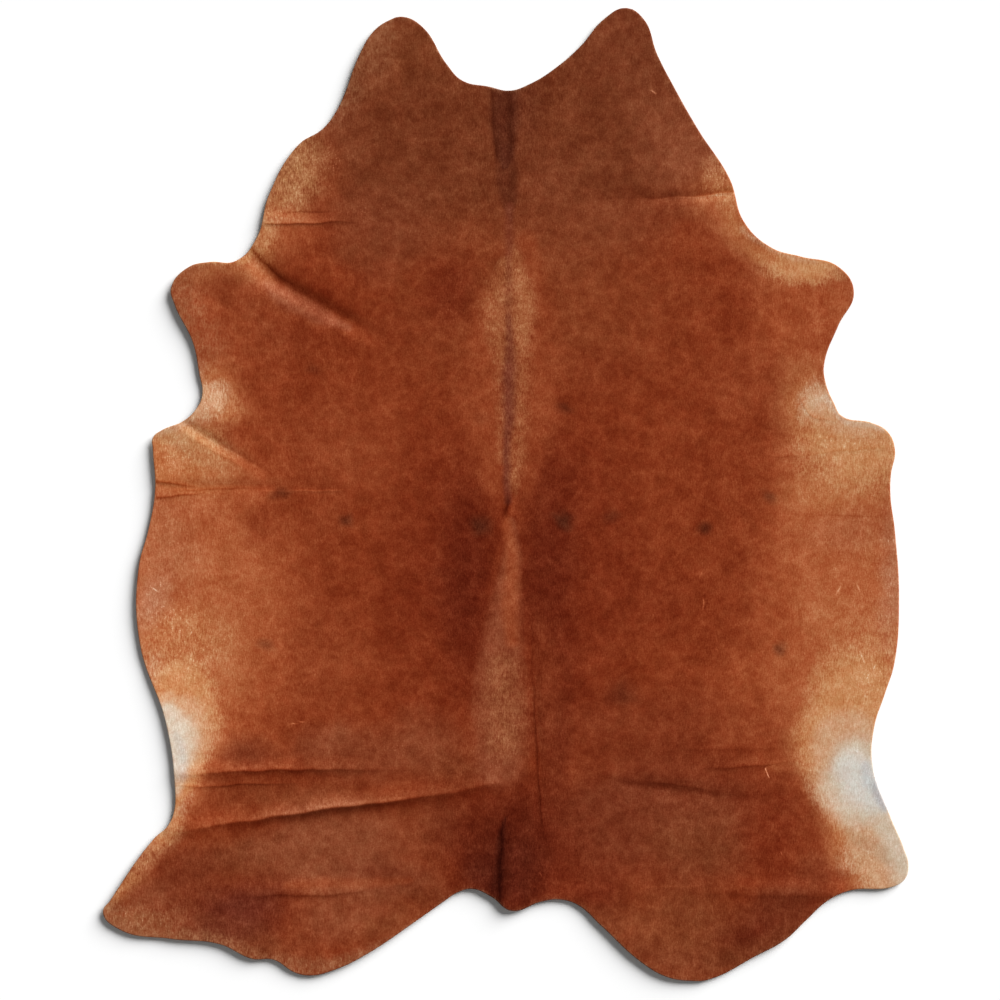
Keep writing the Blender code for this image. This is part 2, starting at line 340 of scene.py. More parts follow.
# %% [markdown]
# ## The fine lines
#
# Between the large folds lie pinched creases a few millimetres wide, along which the hair parts. Such a
# line is painted into the colour more than made as shape: painted shade where the hair leans away from the
# lamp and painted light where it leans towards it. A texture could be painted for this, but it would need
# many pixels for a line this thin. A list of routes needs none, and the same list later raises the mesh.
#
# A row has the line's half width and height in metres, how much darker the coat is painted on the line and
# to its left and right (less than nothing is paler), and its route, with the share of all this that is left
# at each place. For a crease this is painted shade and light; for the scars and spots further on it is
# paler hair.

# %% Lines of the shoulder, elbow and belly creases
Mark = namedtuple("Mark", "name half_width route height line left right", defaults=(0, 0, 0, 0))
# Painted shade and painted light along each crease, placed as the low lamp at the upper right would give
# them.
MARKS = [
    Mark("shoulder crease", 0.0080, left=0.22, right=-0.08, route=[
        (-0.582, 0.540, 0.3), (-0.561, 0.518, 0.7), (-0.536, 0.495, 1), (-0.509, 0.475, 1),
        (-0.484, 0.461, 1), (-0.457, 0.447, 1), (-0.428, 0.432, 0.9), (-0.400, 0.416, 0.8),
        (-0.371, 0.398, 0.7), (-0.319, 0.373, 0.35), (-0.267, 0.350, 0)]),
    Mark("shoulder crease, first stretch", 0.0045, line=0.36, right=-0.06, route=[
        (-0.575, 0.554, 1), (-0.552, 0.529, 1), (-0.527, 0.509, 0.8), (-0.500, 0.486, 0.4),
        (-0.471, 0.470, 0)]),
    Mark("elbow crease", 0.0030, line=-0.09, left=0.08, right=-0.05, route=[
        (-0.729, 0.162, 1), (-0.704, 0.146, 1), (-0.659, 0.119, 1), (-0.602, 0.087, 0.8),
        (-0.552, 0.056, 0.5), (-0.518, 0.040, 0)]),
    Mark("elbow, second line", 0.0034, line=0.14, route=[
        (-0.724, 0.133, 0), (-0.681, 0.110, 0.8), (-0.629, 0.078, 0.8), (-0.589, 0.056, 0)]),
    Mark("belly, first line", 0.0030, height=0.0008, line=0.45, left=0.05, route=[
        (-0.790, 0.028, 1), (-0.761, 0.026, 1), (-0.729, 0.022, 0.7), (-0.693, 0.017, 0)]),
    Mark("belly, second line", 0.0028, height=0.0004, line=0.26, left=0.08, right=-0.03, route=[
        (-0.765, 0.003, 0), (-0.704, 0.010, 0.9), (-0.625, 0.012, 0.9), (-0.552, 0.015, 0)]),
    Mark("belly, pale line", 0.0020, height=0.0006, line=-0.09, left=0.12, route=[
        (-0.602, 0.015, 0), (-0.500, 0.008, 0.6), (-0.398, 0.010, 1), (-0.357, 0.012, 0)]),
    Mark("belly, third line", 0.0028, height=0.0006, line=0.36, route=[
        (-0.790, -0.008, 1), (-0.724, -0.001, 0.9), (-0.666, 0.008, 0)]),
]
print(len(MARKS), "lines at the shoulder, the elbow and the belly")

# %% [markdown]
# Over the rump the hide was folded across, more than once and not quite in the same place. The main lines
# lie on the low waves from before, with painted shade on one side and painted light on the other, and
# thinner ones run beside them.

# %% Lines across the rump and the thighs
MARKS += [
    Mark("upper rump line", 0.0030, height=0.0008, line=0.22, left=-0.12, right=0.12, route=[
        (-0.752, -0.636, 0.3), (-0.641, -0.629, 0.7), (-0.564, -0.626, 1), (-0.489, -0.624, 1),
        (-0.414, -0.624, 0.8), (-0.346, -0.624, 0.5), (-0.172, -0.624, 0)]),
    Mark("upper rump, second line", 0.0022, height=0.0006, line=0.26, right=0.06, route=[
        (-0.754, -0.656, 0.4), (-0.677, -0.660, 0.8), (-0.564, -0.656, 0.9), (-0.453, -0.654, 0)]),
    Mark("lower rump line", 0.0030, height=0.0008, line=0.2, left=-0.22, right=0.28, route=[
        (-0.743, -0.765, 0), (-0.715, -0.760, 0.3), (-0.641, -0.747, 0.5), (-0.573, -0.737, 0.7),
        (-0.489, -0.726, 1), (-0.414, -0.713, 1.1), (-0.337, -0.704, 1.1), (-0.262, -0.697, 1),
        (-0.187, -0.685, 0.6), (-0.110, -0.674, 0.45), (-0.036, -0.658, 0.3), (-0.006, -0.651, 0)]),
    Mark("left thigh line", 0.0050, height=0.0003, line=0.18, left=-0.1, right=0.02, route=[
        (-0.636, -0.914, 0), (-0.552, -0.910, 0.6), (-0.489, -0.907, 1), (-0.414, -0.910, 1),
        (-0.337, -0.901, 0.7), (-0.274, -0.894, 0)]),
    Mark("tail line", 0.0055, height=0.0008, line=0.26, left=0.06, right=0.04, route=[
        (-0.004, -0.728, 0), (-0.008, -0.760, 0.8), (-0.011, -0.812, 1), (-0.013, -0.858, 1),
        (-0.013, -0.919, 1)]),
    Mark("right rump line", 0.0085, height=0.0003, line=0.14, left=0.04, right=-0.06, route=[
        (0.191, -0.633, 0), (0.225, -0.640, 0.6), (0.288, -0.651, 0.9), (0.343, -0.658, 1),
        (0.388, -0.665, 1), (0.447, -0.672, 0.9), (0.492, -0.679, 0.7), (0.553, -0.683, 0.4),
        (0.603, -0.688, 0)]),
    Mark("right rump, thin line", 0.0030, height=0.0002, line=0.12, route=[
        (0.304, -0.647, 0), (0.354, -0.654, 0.8), (0.417, -0.663, 0.8), (0.476, -0.672, 0)]),
    Mark("right rump, upper line", 0.0032, height=0.0004, line=0.16, left=-0.08, right=0.04, route=[
        (0.417, -0.622, 0), (0.479, -0.620, 0.6), (0.547, -0.617, 1), (0.592, -0.613, 0.9),
        (0.628, -0.608, 0.6), (0.671, -0.604, 0)]),
    Mark("right rump, faint line", 0.0050, line=0.12, right=0.03, route=[
        (0.327, -0.579, 0), (0.417, -0.579, 0.8), (0.508, -0.579, 0.9), (0.606, -0.577, 0.6),
        (0.655, -0.574, 0)]),
    Mark("right thigh, pale line", 0.0026, line=-0.12, route=[
        (0.304, -0.889, 0), (0.345, -0.887, 0.8), (0.417, -0.887, 0.8), (0.458, -0.887, 0)]),
    Mark("right thigh line", 0.0060, height=0.0004, line=0.12, left=-0.04, right=0.1, route=[
        (0.395, -0.901, 0), (0.492, -0.905, 0.7), (0.569, -0.910, 1), (0.644, -0.910, 1),
        (0.705, -0.910, 1), (0.753, -0.912, 1)]),
]
print(len(MARKS), "lines with the rump and the thighs")

# %% [markdown]
# The rest are faint: lines where the neck was folded, a thin one down the back, and short ones at the right
# side. One is no crease but a puckered mark in the middle of the back, which stands highest of them all.

# %% Lines of the neck, the back and the right side
MARKS += [
    Mark("neck line, left", 0.0022, height=0.0006, line=0.3, left=-0.14, right=0.04, route=[
        (-0.552, 0.613, 1), (-0.511, 0.613, 1), (-0.466, 0.613, 1), (-0.421, 0.615, 0.8),
        (-0.376, 0.617, 0.4), (-0.326, 0.617, 0)]),
    Mark("neck line, left, upper", 0.0022, line=0.22, route=[
        (-0.516, 0.636, 0), (-0.489, 0.638, 0.8), (-0.421, 0.640, 0.8), (-0.380, 0.640, 0)]),
    Mark("neck line, right", 0.0022, height=0.0006, line=-0.12, left=0.26, right=-0.1, route=[
        (0.191, 0.667, 0), (0.304, 0.667, 0.3), (0.395, 0.672, 0.7), (0.440, 0.674, 1), (0.515, 0.685, 1)]),
    Mark("back line", 0.0026, height=0.0004, line=0.2, right=0.05, route=[
        (0.057, -0.212, 0), (0.062, -0.284, 0.3), (0.062, -0.375, 0.5), (0.064, -0.466, 0.8),
        (0.069, -0.556, 1), (0.073, -0.624, 1), (0.078, -0.692, 1), (0.082, -0.737, 0.8),
        (0.087, -0.787, 0)]),
    Mark("neck line, middle", 0.0036, line=0.16, route=[
        (-0.029, 0.912, 1), (-0.027, 0.849, 1), (-0.022, 0.781, 0.9), (-0.018, 0.722, 0.3),
        (-0.013, 0.676, 0)]),
    Mark("neck line, middle right", 0.0060, line=0.06, route=[
        (0.010, 0.912, 1), (0.010, 0.781, 0.6), (0.007, 0.690, 0.6), (0.007, 0.654, 0)]),
    Mark("right side, faint line", 0.0030, line=0.16, route=[
        (0.678, -0.051, 0), (0.735, -0.046, 0.8), (0.825, -0.051, 0.8), (0.862, -0.051, 0)]),
    Mark("right elbow, line", 0.0026, height=0.0002, line=0.13, route=[
        (0.567, 0.089, 0), (0.644, 0.085, 0.8), (0.735, 0.096, 1), (0.866, 0.108, 0.8)]),
    Mark("right elbow, upper line", 0.0026, height=0.0002, line=0.08, route=[
        (0.667, 0.121, 0), (0.735, 0.128, 0.9), (0.821, 0.133, 0)]),
    Mark("right armpit, line", 0.0022, height=0.0003, line=0.18, left=0.06, route=[
        (0.664, 0.228, 0), (0.673, 0.201, 1), (0.694, 0.178, 1), (0.730, 0.167, 0.6), (0.757, 0.167, 0)]),
    Mark("left armpit, line", 0.0022, height=0.0003, line=0.14, route=[
        (-0.627, 0.232, 0), (-0.625, 0.212, 0.9), (-0.638, 0.191, 0.9), (-0.666, 0.182, 0)]),
    Mark("right side, upright line", 0.0040, line=0.12, route=[
        (0.649, -0.182, 0), (0.660, -0.239, 0.8), (0.667, -0.307, 0.8), (0.673, -0.364, 0)]),
    Mark("puckered mark", 0.0060, height=0.0012, line=0.36, route=[
        (0.005, 0.001, 0), (0.007, -0.017, 1), (0.003, -0.035, 1), (0.005, -0.053, 0)]),
]
print(len(MARKS), "lines along creases,", sum(mark.height > 0 for mark in MARKS), "of them raised")

# %% [markdown]
# A living animal scratches itself on fences and thorns, and pale hair grows back where the skin has healed.
# A scratch is a line as well, only shorter: a short function turns its three places into one, strongest in
# the middle.

# %% Scars, scratches and spots


def scratch(place, half_width, paleness, start, middle, end):
    """A short pale line that fades out at both ends."""
    route = [(*start, 0), (*middle, 1), (*end, 0)]
    return Mark(f"scratch on the {place}", half_width, route, line=-paleness)


MARKS += [
    Mark("rump scar", 0.0011, line=-0.8, route=[
        (0.587, -0.620, 0.9), (0.590, -0.631, 1), (0.594, -0.640, 0.9)]),
    Mark("rump scar, end", 0.0011, line=-0.35, route=[
        (0.587, -0.620, 0.5), (0.603, -0.615, 0.8), (0.612, -0.613, 0)]),
    scratch("side, 1", 0.0014, 0.5, (0.445, -0.230), (0.449, -0.244), (0.447, -0.264)),
    scratch("side, 2", 0.0013, 0.3, (0.440, -0.171), (0.442, -0.178), (0.438, -0.187)),
    scratch("side, 3", 0.0013, 0.25, (0.474, -0.346), (0.479, -0.352), (0.481, -0.361)),
    scratch("side, 4", 0.0014, 0.45, (0.744, -0.230), (0.753, -0.216), (0.760, -0.203)),
    scratch("side, 5", 0.0014, 0.45, (0.791, -0.198), (0.798, -0.212), (0.803, -0.223)),
    scratch("flank, 1", 0.0016, 0.42, (0.800, -0.352), (0.805, -0.364), (0.814, -0.384)),
    scratch("flank, 2", 0.0016, 0.42, (0.841, -0.382), (0.834, -0.393), (0.830, -0.407)),
    Mark("scratch on the flank, 3", 0.0014, line=-0.5, route=[(0.814, -0.443, 0), (0.814, -0.459, 1)]),
    scratch("flank, 4", 0.0014, 0.4, (0.787, -0.577), (0.796, -0.583), (0.800, -0.590)),
    scratch("belly, 1", 0.0014, 0.5, (-0.806, -0.207), (-0.795, -0.216), (-0.783, -0.225)),
    scratch("belly, 2", 0.0014, 0.5, (-0.783, -0.255), (-0.777, -0.253), (-0.770, -0.257)),
    scratch("belly, 3", 0.0014, 0.45, (-0.738, -0.302), (-0.738, -0.314), (-0.740, -0.330)),
    scratch("belly, 4", 0.0014, 0.45, (-0.715, -0.321), (-0.711, -0.312), (-0.709, -0.305)),
    Mark("spot on the neck", 0.0016, line=-0.55, route=[(0.331, 0.914, 1), (0.336, 0.910, 1)]),
    Mark("spot on the thigh", 0.0012, line=-0.4, route=[(0.624, -0.810, 1), (0.626, -0.815, 0.6)]),
    Mark("spot by the tail", 0.0012, line=-0.45, route=[(0.078, -0.858, 1), (0.080, -0.864, 0.6)]),
    Mark("orange flecks, 1", 0.0012, line=-0.45, route=[
        (-0.491, -0.520, 0.2), (-0.482, -0.518, 1), (-0.473, -0.520, 0.2)]),
    Mark("orange flecks, 2", 0.0012, line=-0.45, route=[
        (-0.471, -0.513, 0.2), (-0.464, -0.515, 1), (-0.457, -0.513, 0.2)]),
]
print(len(MARKS), "lines with the scars, scratches and spots")

# %% [markdown]
# No crease is a clean curve, so each route is made to waver. Blender's noise gives numbers that change
# smoothly from place to place and never from run to run, where random numbers would need a seed and would
# jump.

# %% How a line runs, stands up and shades the hair
from mathutils import noise

WAVERS = [(0.045, 0.0035), (0.014, 0.0012)]  # length of a line's wavers, and how far they move it
LINE_NOISE, LINE_STEP = 7.7, 0.006
SWAY_APART = 5.3  # the push along y is read this far from the push along x in the noise
LINE_SWELL = 1.4  # the hair on a line is shaded this many half widths out
SHADE_PEAK = 2.2  # the hair beside a line is darkest or palest this many half widths away from it
SHADE_END = 8  # and plain again this many times farther out
RIDGE_REACH = 2  # a line's ridge is this many half widths wide to each side


def sway(x, y, size, level):
    """A smooth push each way, between about -1 and 1, that turns over about the given size.

    Another level gives other pushes. The same level gives the same ones in every run.
    """
    levels = (level, level + SWAY_APART)
    return [[noise.noise((a / size, b / size, deep)) for deep in levels] for a, b in zip(x, y)]


def mark_route(mark, spacing):
    """The line's route, which wavers by up to about three millimetres."""
    route = smooth_route(mark.route, spacing)
    for size, reach in WAVERS:
        route[:, :2] += reach * np.array(sway(route[:, 0], route[:, 1], size, LINE_NOISE))
    return route


def mark_height(mark, x, y):
    """How high a pinched line stands up at each place."""
    reach = RIDGE_REACH * mark.half_width
    distance, _, share = nearest_on_route(mark_route(mark, LINE_STEP), x, y, reach)
    return mark.height * share * swell(distance, reach)


def mark_shade(mark, x, y):
    """Painted shade and light for one line, or a scar's paler hair: on it, and in a soft band to each side.
    """
    peak = SHADE_PEAK * mark.half_width
    distance, side, share = nearest_on_route(mark_route(mark, LINE_STEP), x, y, SHADE_END * peak)
    on_line = swell(distance, LINE_SWELL * mark.half_width)
    peaks_away = np.minimum(distance / peak, SHADE_END)
    beside = peaks_away * np.exp(1 - peaks_away)
    return share * (mark.line * on_line + np.where(side > 0, mark.left, mark.right) * beside)


moved = [mark_route(mark, LINE_STEP) - smooth_route(mark.route, LINE_STEP) for mark in MARKS]
print(f"the lines waver by up to {1000 * max(np.abs(move[:, :2]).max() for move in moved):.1f} mm")

# %% [markdown]
# ## The points of the sheet
#
# The top needs points close together, because the folds and the coat's colours are stored on them. A
# lattice of even triangles bends in every direction alike, where a square grid would show its rows.

# %% Points inside the outline
LATTICE = 0.0072
RIM_INSET = 0.005


def to_the_left(along):
    """Unit steps square to the given directions, to their left."""
    along = along / np.linalg.norm(along, axis=1)[:, None]
    return np.stack([-along[:, 1], along[:, 0]], axis=1)


def inset(points, distance):
    """The closed loop moved inwards by the distance, or outwards when it is negative."""
    return points + to_the_left(np.roll(points, -1, axis=0) - np.roll(points, 1, axis=0)) * distance


def crossings(loop, y):
    """Where the loop crosses a level line, from left to right."""
    ahead = np.roll(loop, -1, axis=0)
    crosses = (loop[:, 1] > y) != (ahead[:, 1] > y)
    here, there = loop[crosses], ahead[crosses]
    return np.sort(here[:, 0] + (y - here[:, 1]) / (there[:, 1] - here[:, 1]) * (there[:, 0] - here[:, 0]))


def lattice_inside(loop, pitch):
    """The points of a triangular lattice that lie inside the loop."""
    rows = []
    step = pitch * math.sqrt(3) / 2
    for k, y in enumerate(np.arange(loop[:, 1].min() + step / 2, loop[:, 1].max(), step)):
        xs = np.arange(loop[:, 0].min() + (k % 2) * pitch / 2, loop[:, 0].max(), pitch)
        xs = xs[np.searchsorted(crossings(loop, y), xs) % 2 == 1]
        rows.append(np.stack([xs, np.full(len(xs), y)], axis=1))
    return np.concatenate(rows)


top_loop = inset(edge, RIM_INSET)
lattice = lattice_inside(top_loop, LATTICE)
print(len(top_loop), "points round the top,", len(lattice), "inside it")

# %% [markdown]
# A ridge of two millimetres falls between points that are seven millimetres apart. A finer lattice all over
# would cost more than ten times the triangles, so only the lines get rows of extra points, along and beside
# them. Points of the lattice that would crowd the rows are left out, since thin triangles shade badly.

# %% Rows of points along the lines
ROW_STEP = 0.0045
ROWS_ACROSS = (-2, -0.8, 0, 0.8, 2)  # where the rows lie, in half widths from the line
CLEAR_OF_LOOP = 0.45  # how far points stay from the loop round them, as a share of the lattice
CLEAR_OF_ROWS = 0.40


def mark_rows(mark):
    """Rows of points along a line: on it, at its two sides and at the foot of its ridge."""
    route = mark_route(mark, ROW_STEP)[:, :2]
    across = to_the_left(np.gradient(route, axis=0))
    return np.concatenate([route + across * (share * mark.half_width) for share in ROWS_ACROSS])


def thinned(points, keep_clear_of, distance):
    """The points that lie farther than the distance from all the others given."""
    return points[distance_to(tree_of(keep_clear_of), *points.T) > distance]


rows = np.concatenate([mark_rows(mark) for mark in MARKS])
rows = rows[[np.count_nonzero(crossings(top_loop, y) > x) % 2 == 1 for x, y in rows]]
rows = thinned(rows, top_loop, CLEAR_OF_LOOP * LATTICE)
lattice = thinned(lattice, top_loop, CLEAR_OF_LOOP * LATTICE)
top_points = np.concatenate([top_loop, rows, thinned(lattice, rows, CLEAR_OF_ROWS * LATTICE)])
print(len(top_points), "points on top,", len(rows), "of them along lines")

# %% [markdown]
# ## The sheet
#
# The sheet is closed: top, rim and underside are one mesh, as the leather is one piece. A flat surface with
# a Solidify modifier would be quicker, but its rim would be a plain square cut. Here the top and the
# underside are filled first, with triangles by Delaunay's rule, which avoids thin ones.

# %% Fill the top and the underside
from mathutils import Vector
from mathutils.geometry import delaunay_2d_cdt

UNDERSIDE_LATTICE = 0.018
UNDERSIDE_CLEAR = 0.5
UNDERSIDE_INSET = 0.0012
INSIDE_ONLY = 1  # the kind of fill that leaves out triangles outside the loop
MERGE_WITHIN = 1e-7


def triangles_of(loop_length, points):
    """Triangles that fill the loop made by the first points and use all the others."""
    sides = [(i, (i + 1) % loop_length) for i in range(loop_length)]
    filled = delaunay_2d_cdt([Vector(p) for p in points], sides, [], INSIDE_ONLY, MERGE_WITHIN)
    faces = filled[2]
    source = [sources[0] for sources in filled[3]]
    return [tuple(source[i] for i in face) for face in faces]


count = len(edge)
top_faces = triangles_of(count, top_points)
bottom_loop = inset(edge, UNDERSIDE_INSET)
bottom_inner = lattice_inside(bottom_loop, UNDERSIDE_LATTICE)
bottom_inner = thinned(bottom_inner, bottom_loop, UNDERSIDE_CLEAR * UNDERSIDE_LATTICE)
bottom_points = np.concatenate([bottom_loop, bottom_inner])
bottom_faces = triangles_of(count, bottom_points)
print(len(top_faces), "triangles on top,", len(bottom_faces), "below")

# %% [markdown]
# Seen from the side, the lower part of the rim is the knife's cut, a little inside the outline. The coat
# bulges over the cut, hangs down a little way in front of it and rounds off on to the top. So the rim is a
# stack of loops, each moved in or out from the outline and set at its own height. The faces between the
# underside and the first of them are the cut, and the rest are coat.

# %% Stack the loops and build the mesh
THICKNESS = 0.003  # leather with its short hair lying flat
# The loops between the underside and the top: how far inside the outline, and the share of the thickness.
RIM = [(0.0010, 0.50), (0.0000, 0.38), (-0.0003, 0.66), (0.0003, 0.88), (0.0020, 0.98)]
FLESH, CUT, COAT = 0, 1, 2
SHARP_ANGLE = math.radians(70)

levels = [(bottom_points, 0.0)]
levels += [(inset(edge, inside), share) for inside, share in RIM]
levels += [(top_points, 1.0)]
flat_points = np.concatenate([points for points, _ in levels])
flat_x, flat_y = flat_points.T
from_edge = distance_to(edge_tree, flat_x, flat_y)
share_up = np.concatenate([np.full(len(points), share) for points, share in levels])
heights = relief(flat_x, flat_y, from_edge) + share_up * THICKNESS
on_top = slice(len(flat_points) - len(top_points), None)
heights[on_top] += sum(mark_height(mark, *top_points.T) for mark in MARKS if mark.height)

starts = np.cumsum([0] + [len(points) for points, _ in levels])
faces = [(a, c, b) for a, b, c in bottom_faces]
finishes = [FLESH] * len(faces)
for level in range(len(levels) - 1):
    low, high = starts[level], starts[level + 1]
    for i in range(count):
        j = (i + 1) % count
        faces.append((low + i, low + j, high + j, high + i))
        finishes.append(CUT if level == 0 else COAT)
faces += [tuple(starts[-2] + i for i in face) for face in top_faces]
finishes += [COAT] * len(top_faces)

mesh = bpy.data.meshes.new("hide_sheet")
mesh.from_pydata([(x, y, z) for (x, y), z in zip(flat_points, heights)], [], faces)
mesh.polygons.foreach_set("material_index", finishes)
mesh.shade_smooth()
mesh.set_sharp_from_angle(angle=SHARP_ANGLE)
sheet = placed("hide_sheet", mesh)
triangles = sum(len(face) - 2 for face in faces)
print(f"{triangles} triangles, highest point {1000 * heights.max():.1f} mm")

# %% [markdown]
# ## The coat's colours
#
# Cattle hair is dark along the back and at the tail, and pale where the skin is thin: in the armpits, along
# the belly and on the flanks. A painter would mix a small set of tones first and use them all over the
# hide, which keeps the colours related. The set is named here, each tone as the red, green and blue of a
# screen, 0 to 255.

# %% The tones
TONES = {
    "russet": (131, 53, 25),
    "ochre": (128, 60, 31),
    "walnut": (114, 53, 28),
    "chestnut": (123, 61, 33),
    "bay": (117, 51, 28),
    "bay red": (119, 44, 20),
    "mahogany": (98, 32, 14),
    "oxblood": (98, 39, 24),
    "dark brown": (78, 32, 18),
    "dark bay": (66, 22, 12),
    "rust": (145, 66, 35),
    "umber": (127, 62, 36),
    "khaki": (146, 92, 60),
    "clay": (138, 71, 43),
    "copper": (160, 76, 41),
    "hazel": (167, 95, 60),
    "orange tan": (175, 95, 56),
    "amber": (180, 108, 65),
    "tan": (185, 125, 80),
    "honey": (198, 139, 93),
    "gold": (198, 135, 88),
    "fawn": (168, 101, 62),
    "rose": (176, 119, 88),
    "dun": (193, 147, 111),
    "taupe": (134, 66, 40),
    "plum": (114, 51, 33),
    "smoke": (76, 32, 17),
    "sand": (204, 156, 119),
    "peach": (208, 182, 157),
    "cream": (211, 190, 166),
    "chalk": (216, 208, 197),
    "dove": (176, 178, 184),
}
LIGHT_GAIN = 1.13  # the lamp and the sky light the hide this much more than plain white light would


def linear(tone):
    """The share of light that a tone reflects, 0 to 1 for each colour, by the standard curve of screens."""
    c = np.array(TONES[tone]) / 255
    return np.where(c <= 0.04045, c / 12.92, ((c + 0.055) / 1.055) ** 2.4) / LIGHT_GAIN


print(len(TONES), "tones, from", min(TONES, key=lambda tone: sum(TONES[tone])), "to",
      max(TONES, key=lambda tone: sum(TONES[tone])))

# %% [markdown]
# The tones are laid in as soft patches over one ground tone, the broad ones first, as in a painting. A
# painted texture would do as well, but it has to be kept beside the file, and a table can be read and
# changed in place.
#
# A patch has a tone, a place, two half sizes in metres and a strength. It may also be turned, by degrees,
# and its softness is the share of its size over which it fades on either side of its border. Later patches
# cover earlier ones. The neck is first: a cool dark brown with dusty lobes, which turns pale towards the
# forelegs.

# %% Patches of the neck and the shoulders
Patch = namedtuple("Patch", "name tone x y half_x half_y strength turn softness", defaults=(0, 0.8))
PATCHES = [
    Patch("neck", "walnut", -0.002, 0.905, 0.612, 0.317, 1, softness=0.25),
    Patch("left neck lobe", "chestnut", -0.251, 1.012, 0.102, 0.091, 0.9, softness=0.6),
    Patch("left neck lobe, outer", "khaki", -0.308, 1.021, 0.054, 0.077, 0.4, turn=-14),
    Patch("below the left neck lobe", "umber", -0.394, 0.849, 0.054, 0.077, 0.55),
    Patch("below the left neck lobe, rim", "khaki", -0.371, 0.912, 0.034, 0.054, 0.4, turn=-20),
    Patch("left neck lobe, inner", "walnut", -0.276, 0.944, 0.034, 0.032, 0.6),
    Patch("right neck lobe", "umber", 0.263, 1.025, 0.091, 0.086, 0.45, softness=0.6),
    Patch("right of the neck stripe, low", "umber", 0.096, 0.717, 0.054, 0.050, 0.5),
    Patch("right of the neck", "clay", 0.408, 0.781, 0.091, 0.150, 0.7, turn=24, softness=0.7),
    Patch("neck, low on the right", "umber", 0.227, 0.608, 0.159, 0.054, 0.5),
    Patch("neck, low on the left", "umber", -0.289, 0.636, 0.100, 0.063, 0.7),
    Patch("below the neck, left", "umber", -0.217, 0.577, 0.104, 0.050, 0.7),
    Patch("below the neck, left, low", "bay", -0.285, 0.509, 0.054, 0.032, 0.5),
    Patch("below the neck, middle", "umber", 0.114, 0.568, 0.136, 0.086, 0.7),
    Patch("shoulders", "ochre", 0.055, 0.441, 0.295, 0.190, 0.7, softness=0.7),
    Patch("under the neck, left", "tan", -0.498, 0.726, 0.063, 0.095, 0.58, turn=-24, softness=0.7),
    Patch("under the neck, left, low", "orange tan", -0.511, 0.608, 0.068, 0.063, 0.6),
    Patch("under the neck, left, rim", "honey", -0.552, 0.595, 0.029, 0.054, 0.55),
    Patch("under the neck, left, corner", "amber", -0.552, 0.558, 0.034, 0.036, 0.5),
    Patch("under the neck, left, far", "copper", -0.425, 0.740, 0.050, 0.077, 0.35),
    Patch("under the neck, right", "orange tan", 0.494, 0.654, 0.068, 0.077, 0.8),
    Patch("under the neck, right, rim", "amber", 0.513, 0.649, 0.023, 0.050, 0.7),
    Patch("shoulder, right of the neck", "russet", 0.433, 0.577, 0.050, 0.036, 0.7),
    Patch("under the neck, right, high", "gold", 0.488, 0.704, 0.032, 0.050, 0.35, turn=20),
    Patch("above the right foreleg", "amber", 0.633, 0.538, 0.100, 0.029, 1, turn=-10, softness=0.6),
    Patch("above the right foreleg, end", "gold", 0.698, 0.513, 0.059, 0.027, 0.8, turn=-6, softness=0.7),
    Patch("above the right foreleg, inner", "amber", 0.535, 0.595, 0.032, 0.029, 0.6, turn=-30),
    Patch("above the right foreleg, outer", "gold", 0.667, 0.518, 0.077, 0.032, 0.9, turn=-4, softness=0.7),
    Patch("right foreleg, corner", "chestnut", 0.755, 0.500, 0.020, 0.018, 0.7),
    Patch("above the right foreleg, low", "orange tan", 0.667, 0.479, 0.095, 0.036, 0.9, turn=-10),
]
print(len(PATCHES), "patches on the neck and the shoulders")

# %% [markdown]
# The sides are the lightest part but for the flanks. The hair grows thinner down the sides of the body, so
# the tone warms from rust to amber towards the edge, and the skin shows through in the armpits and at the
# elbows.

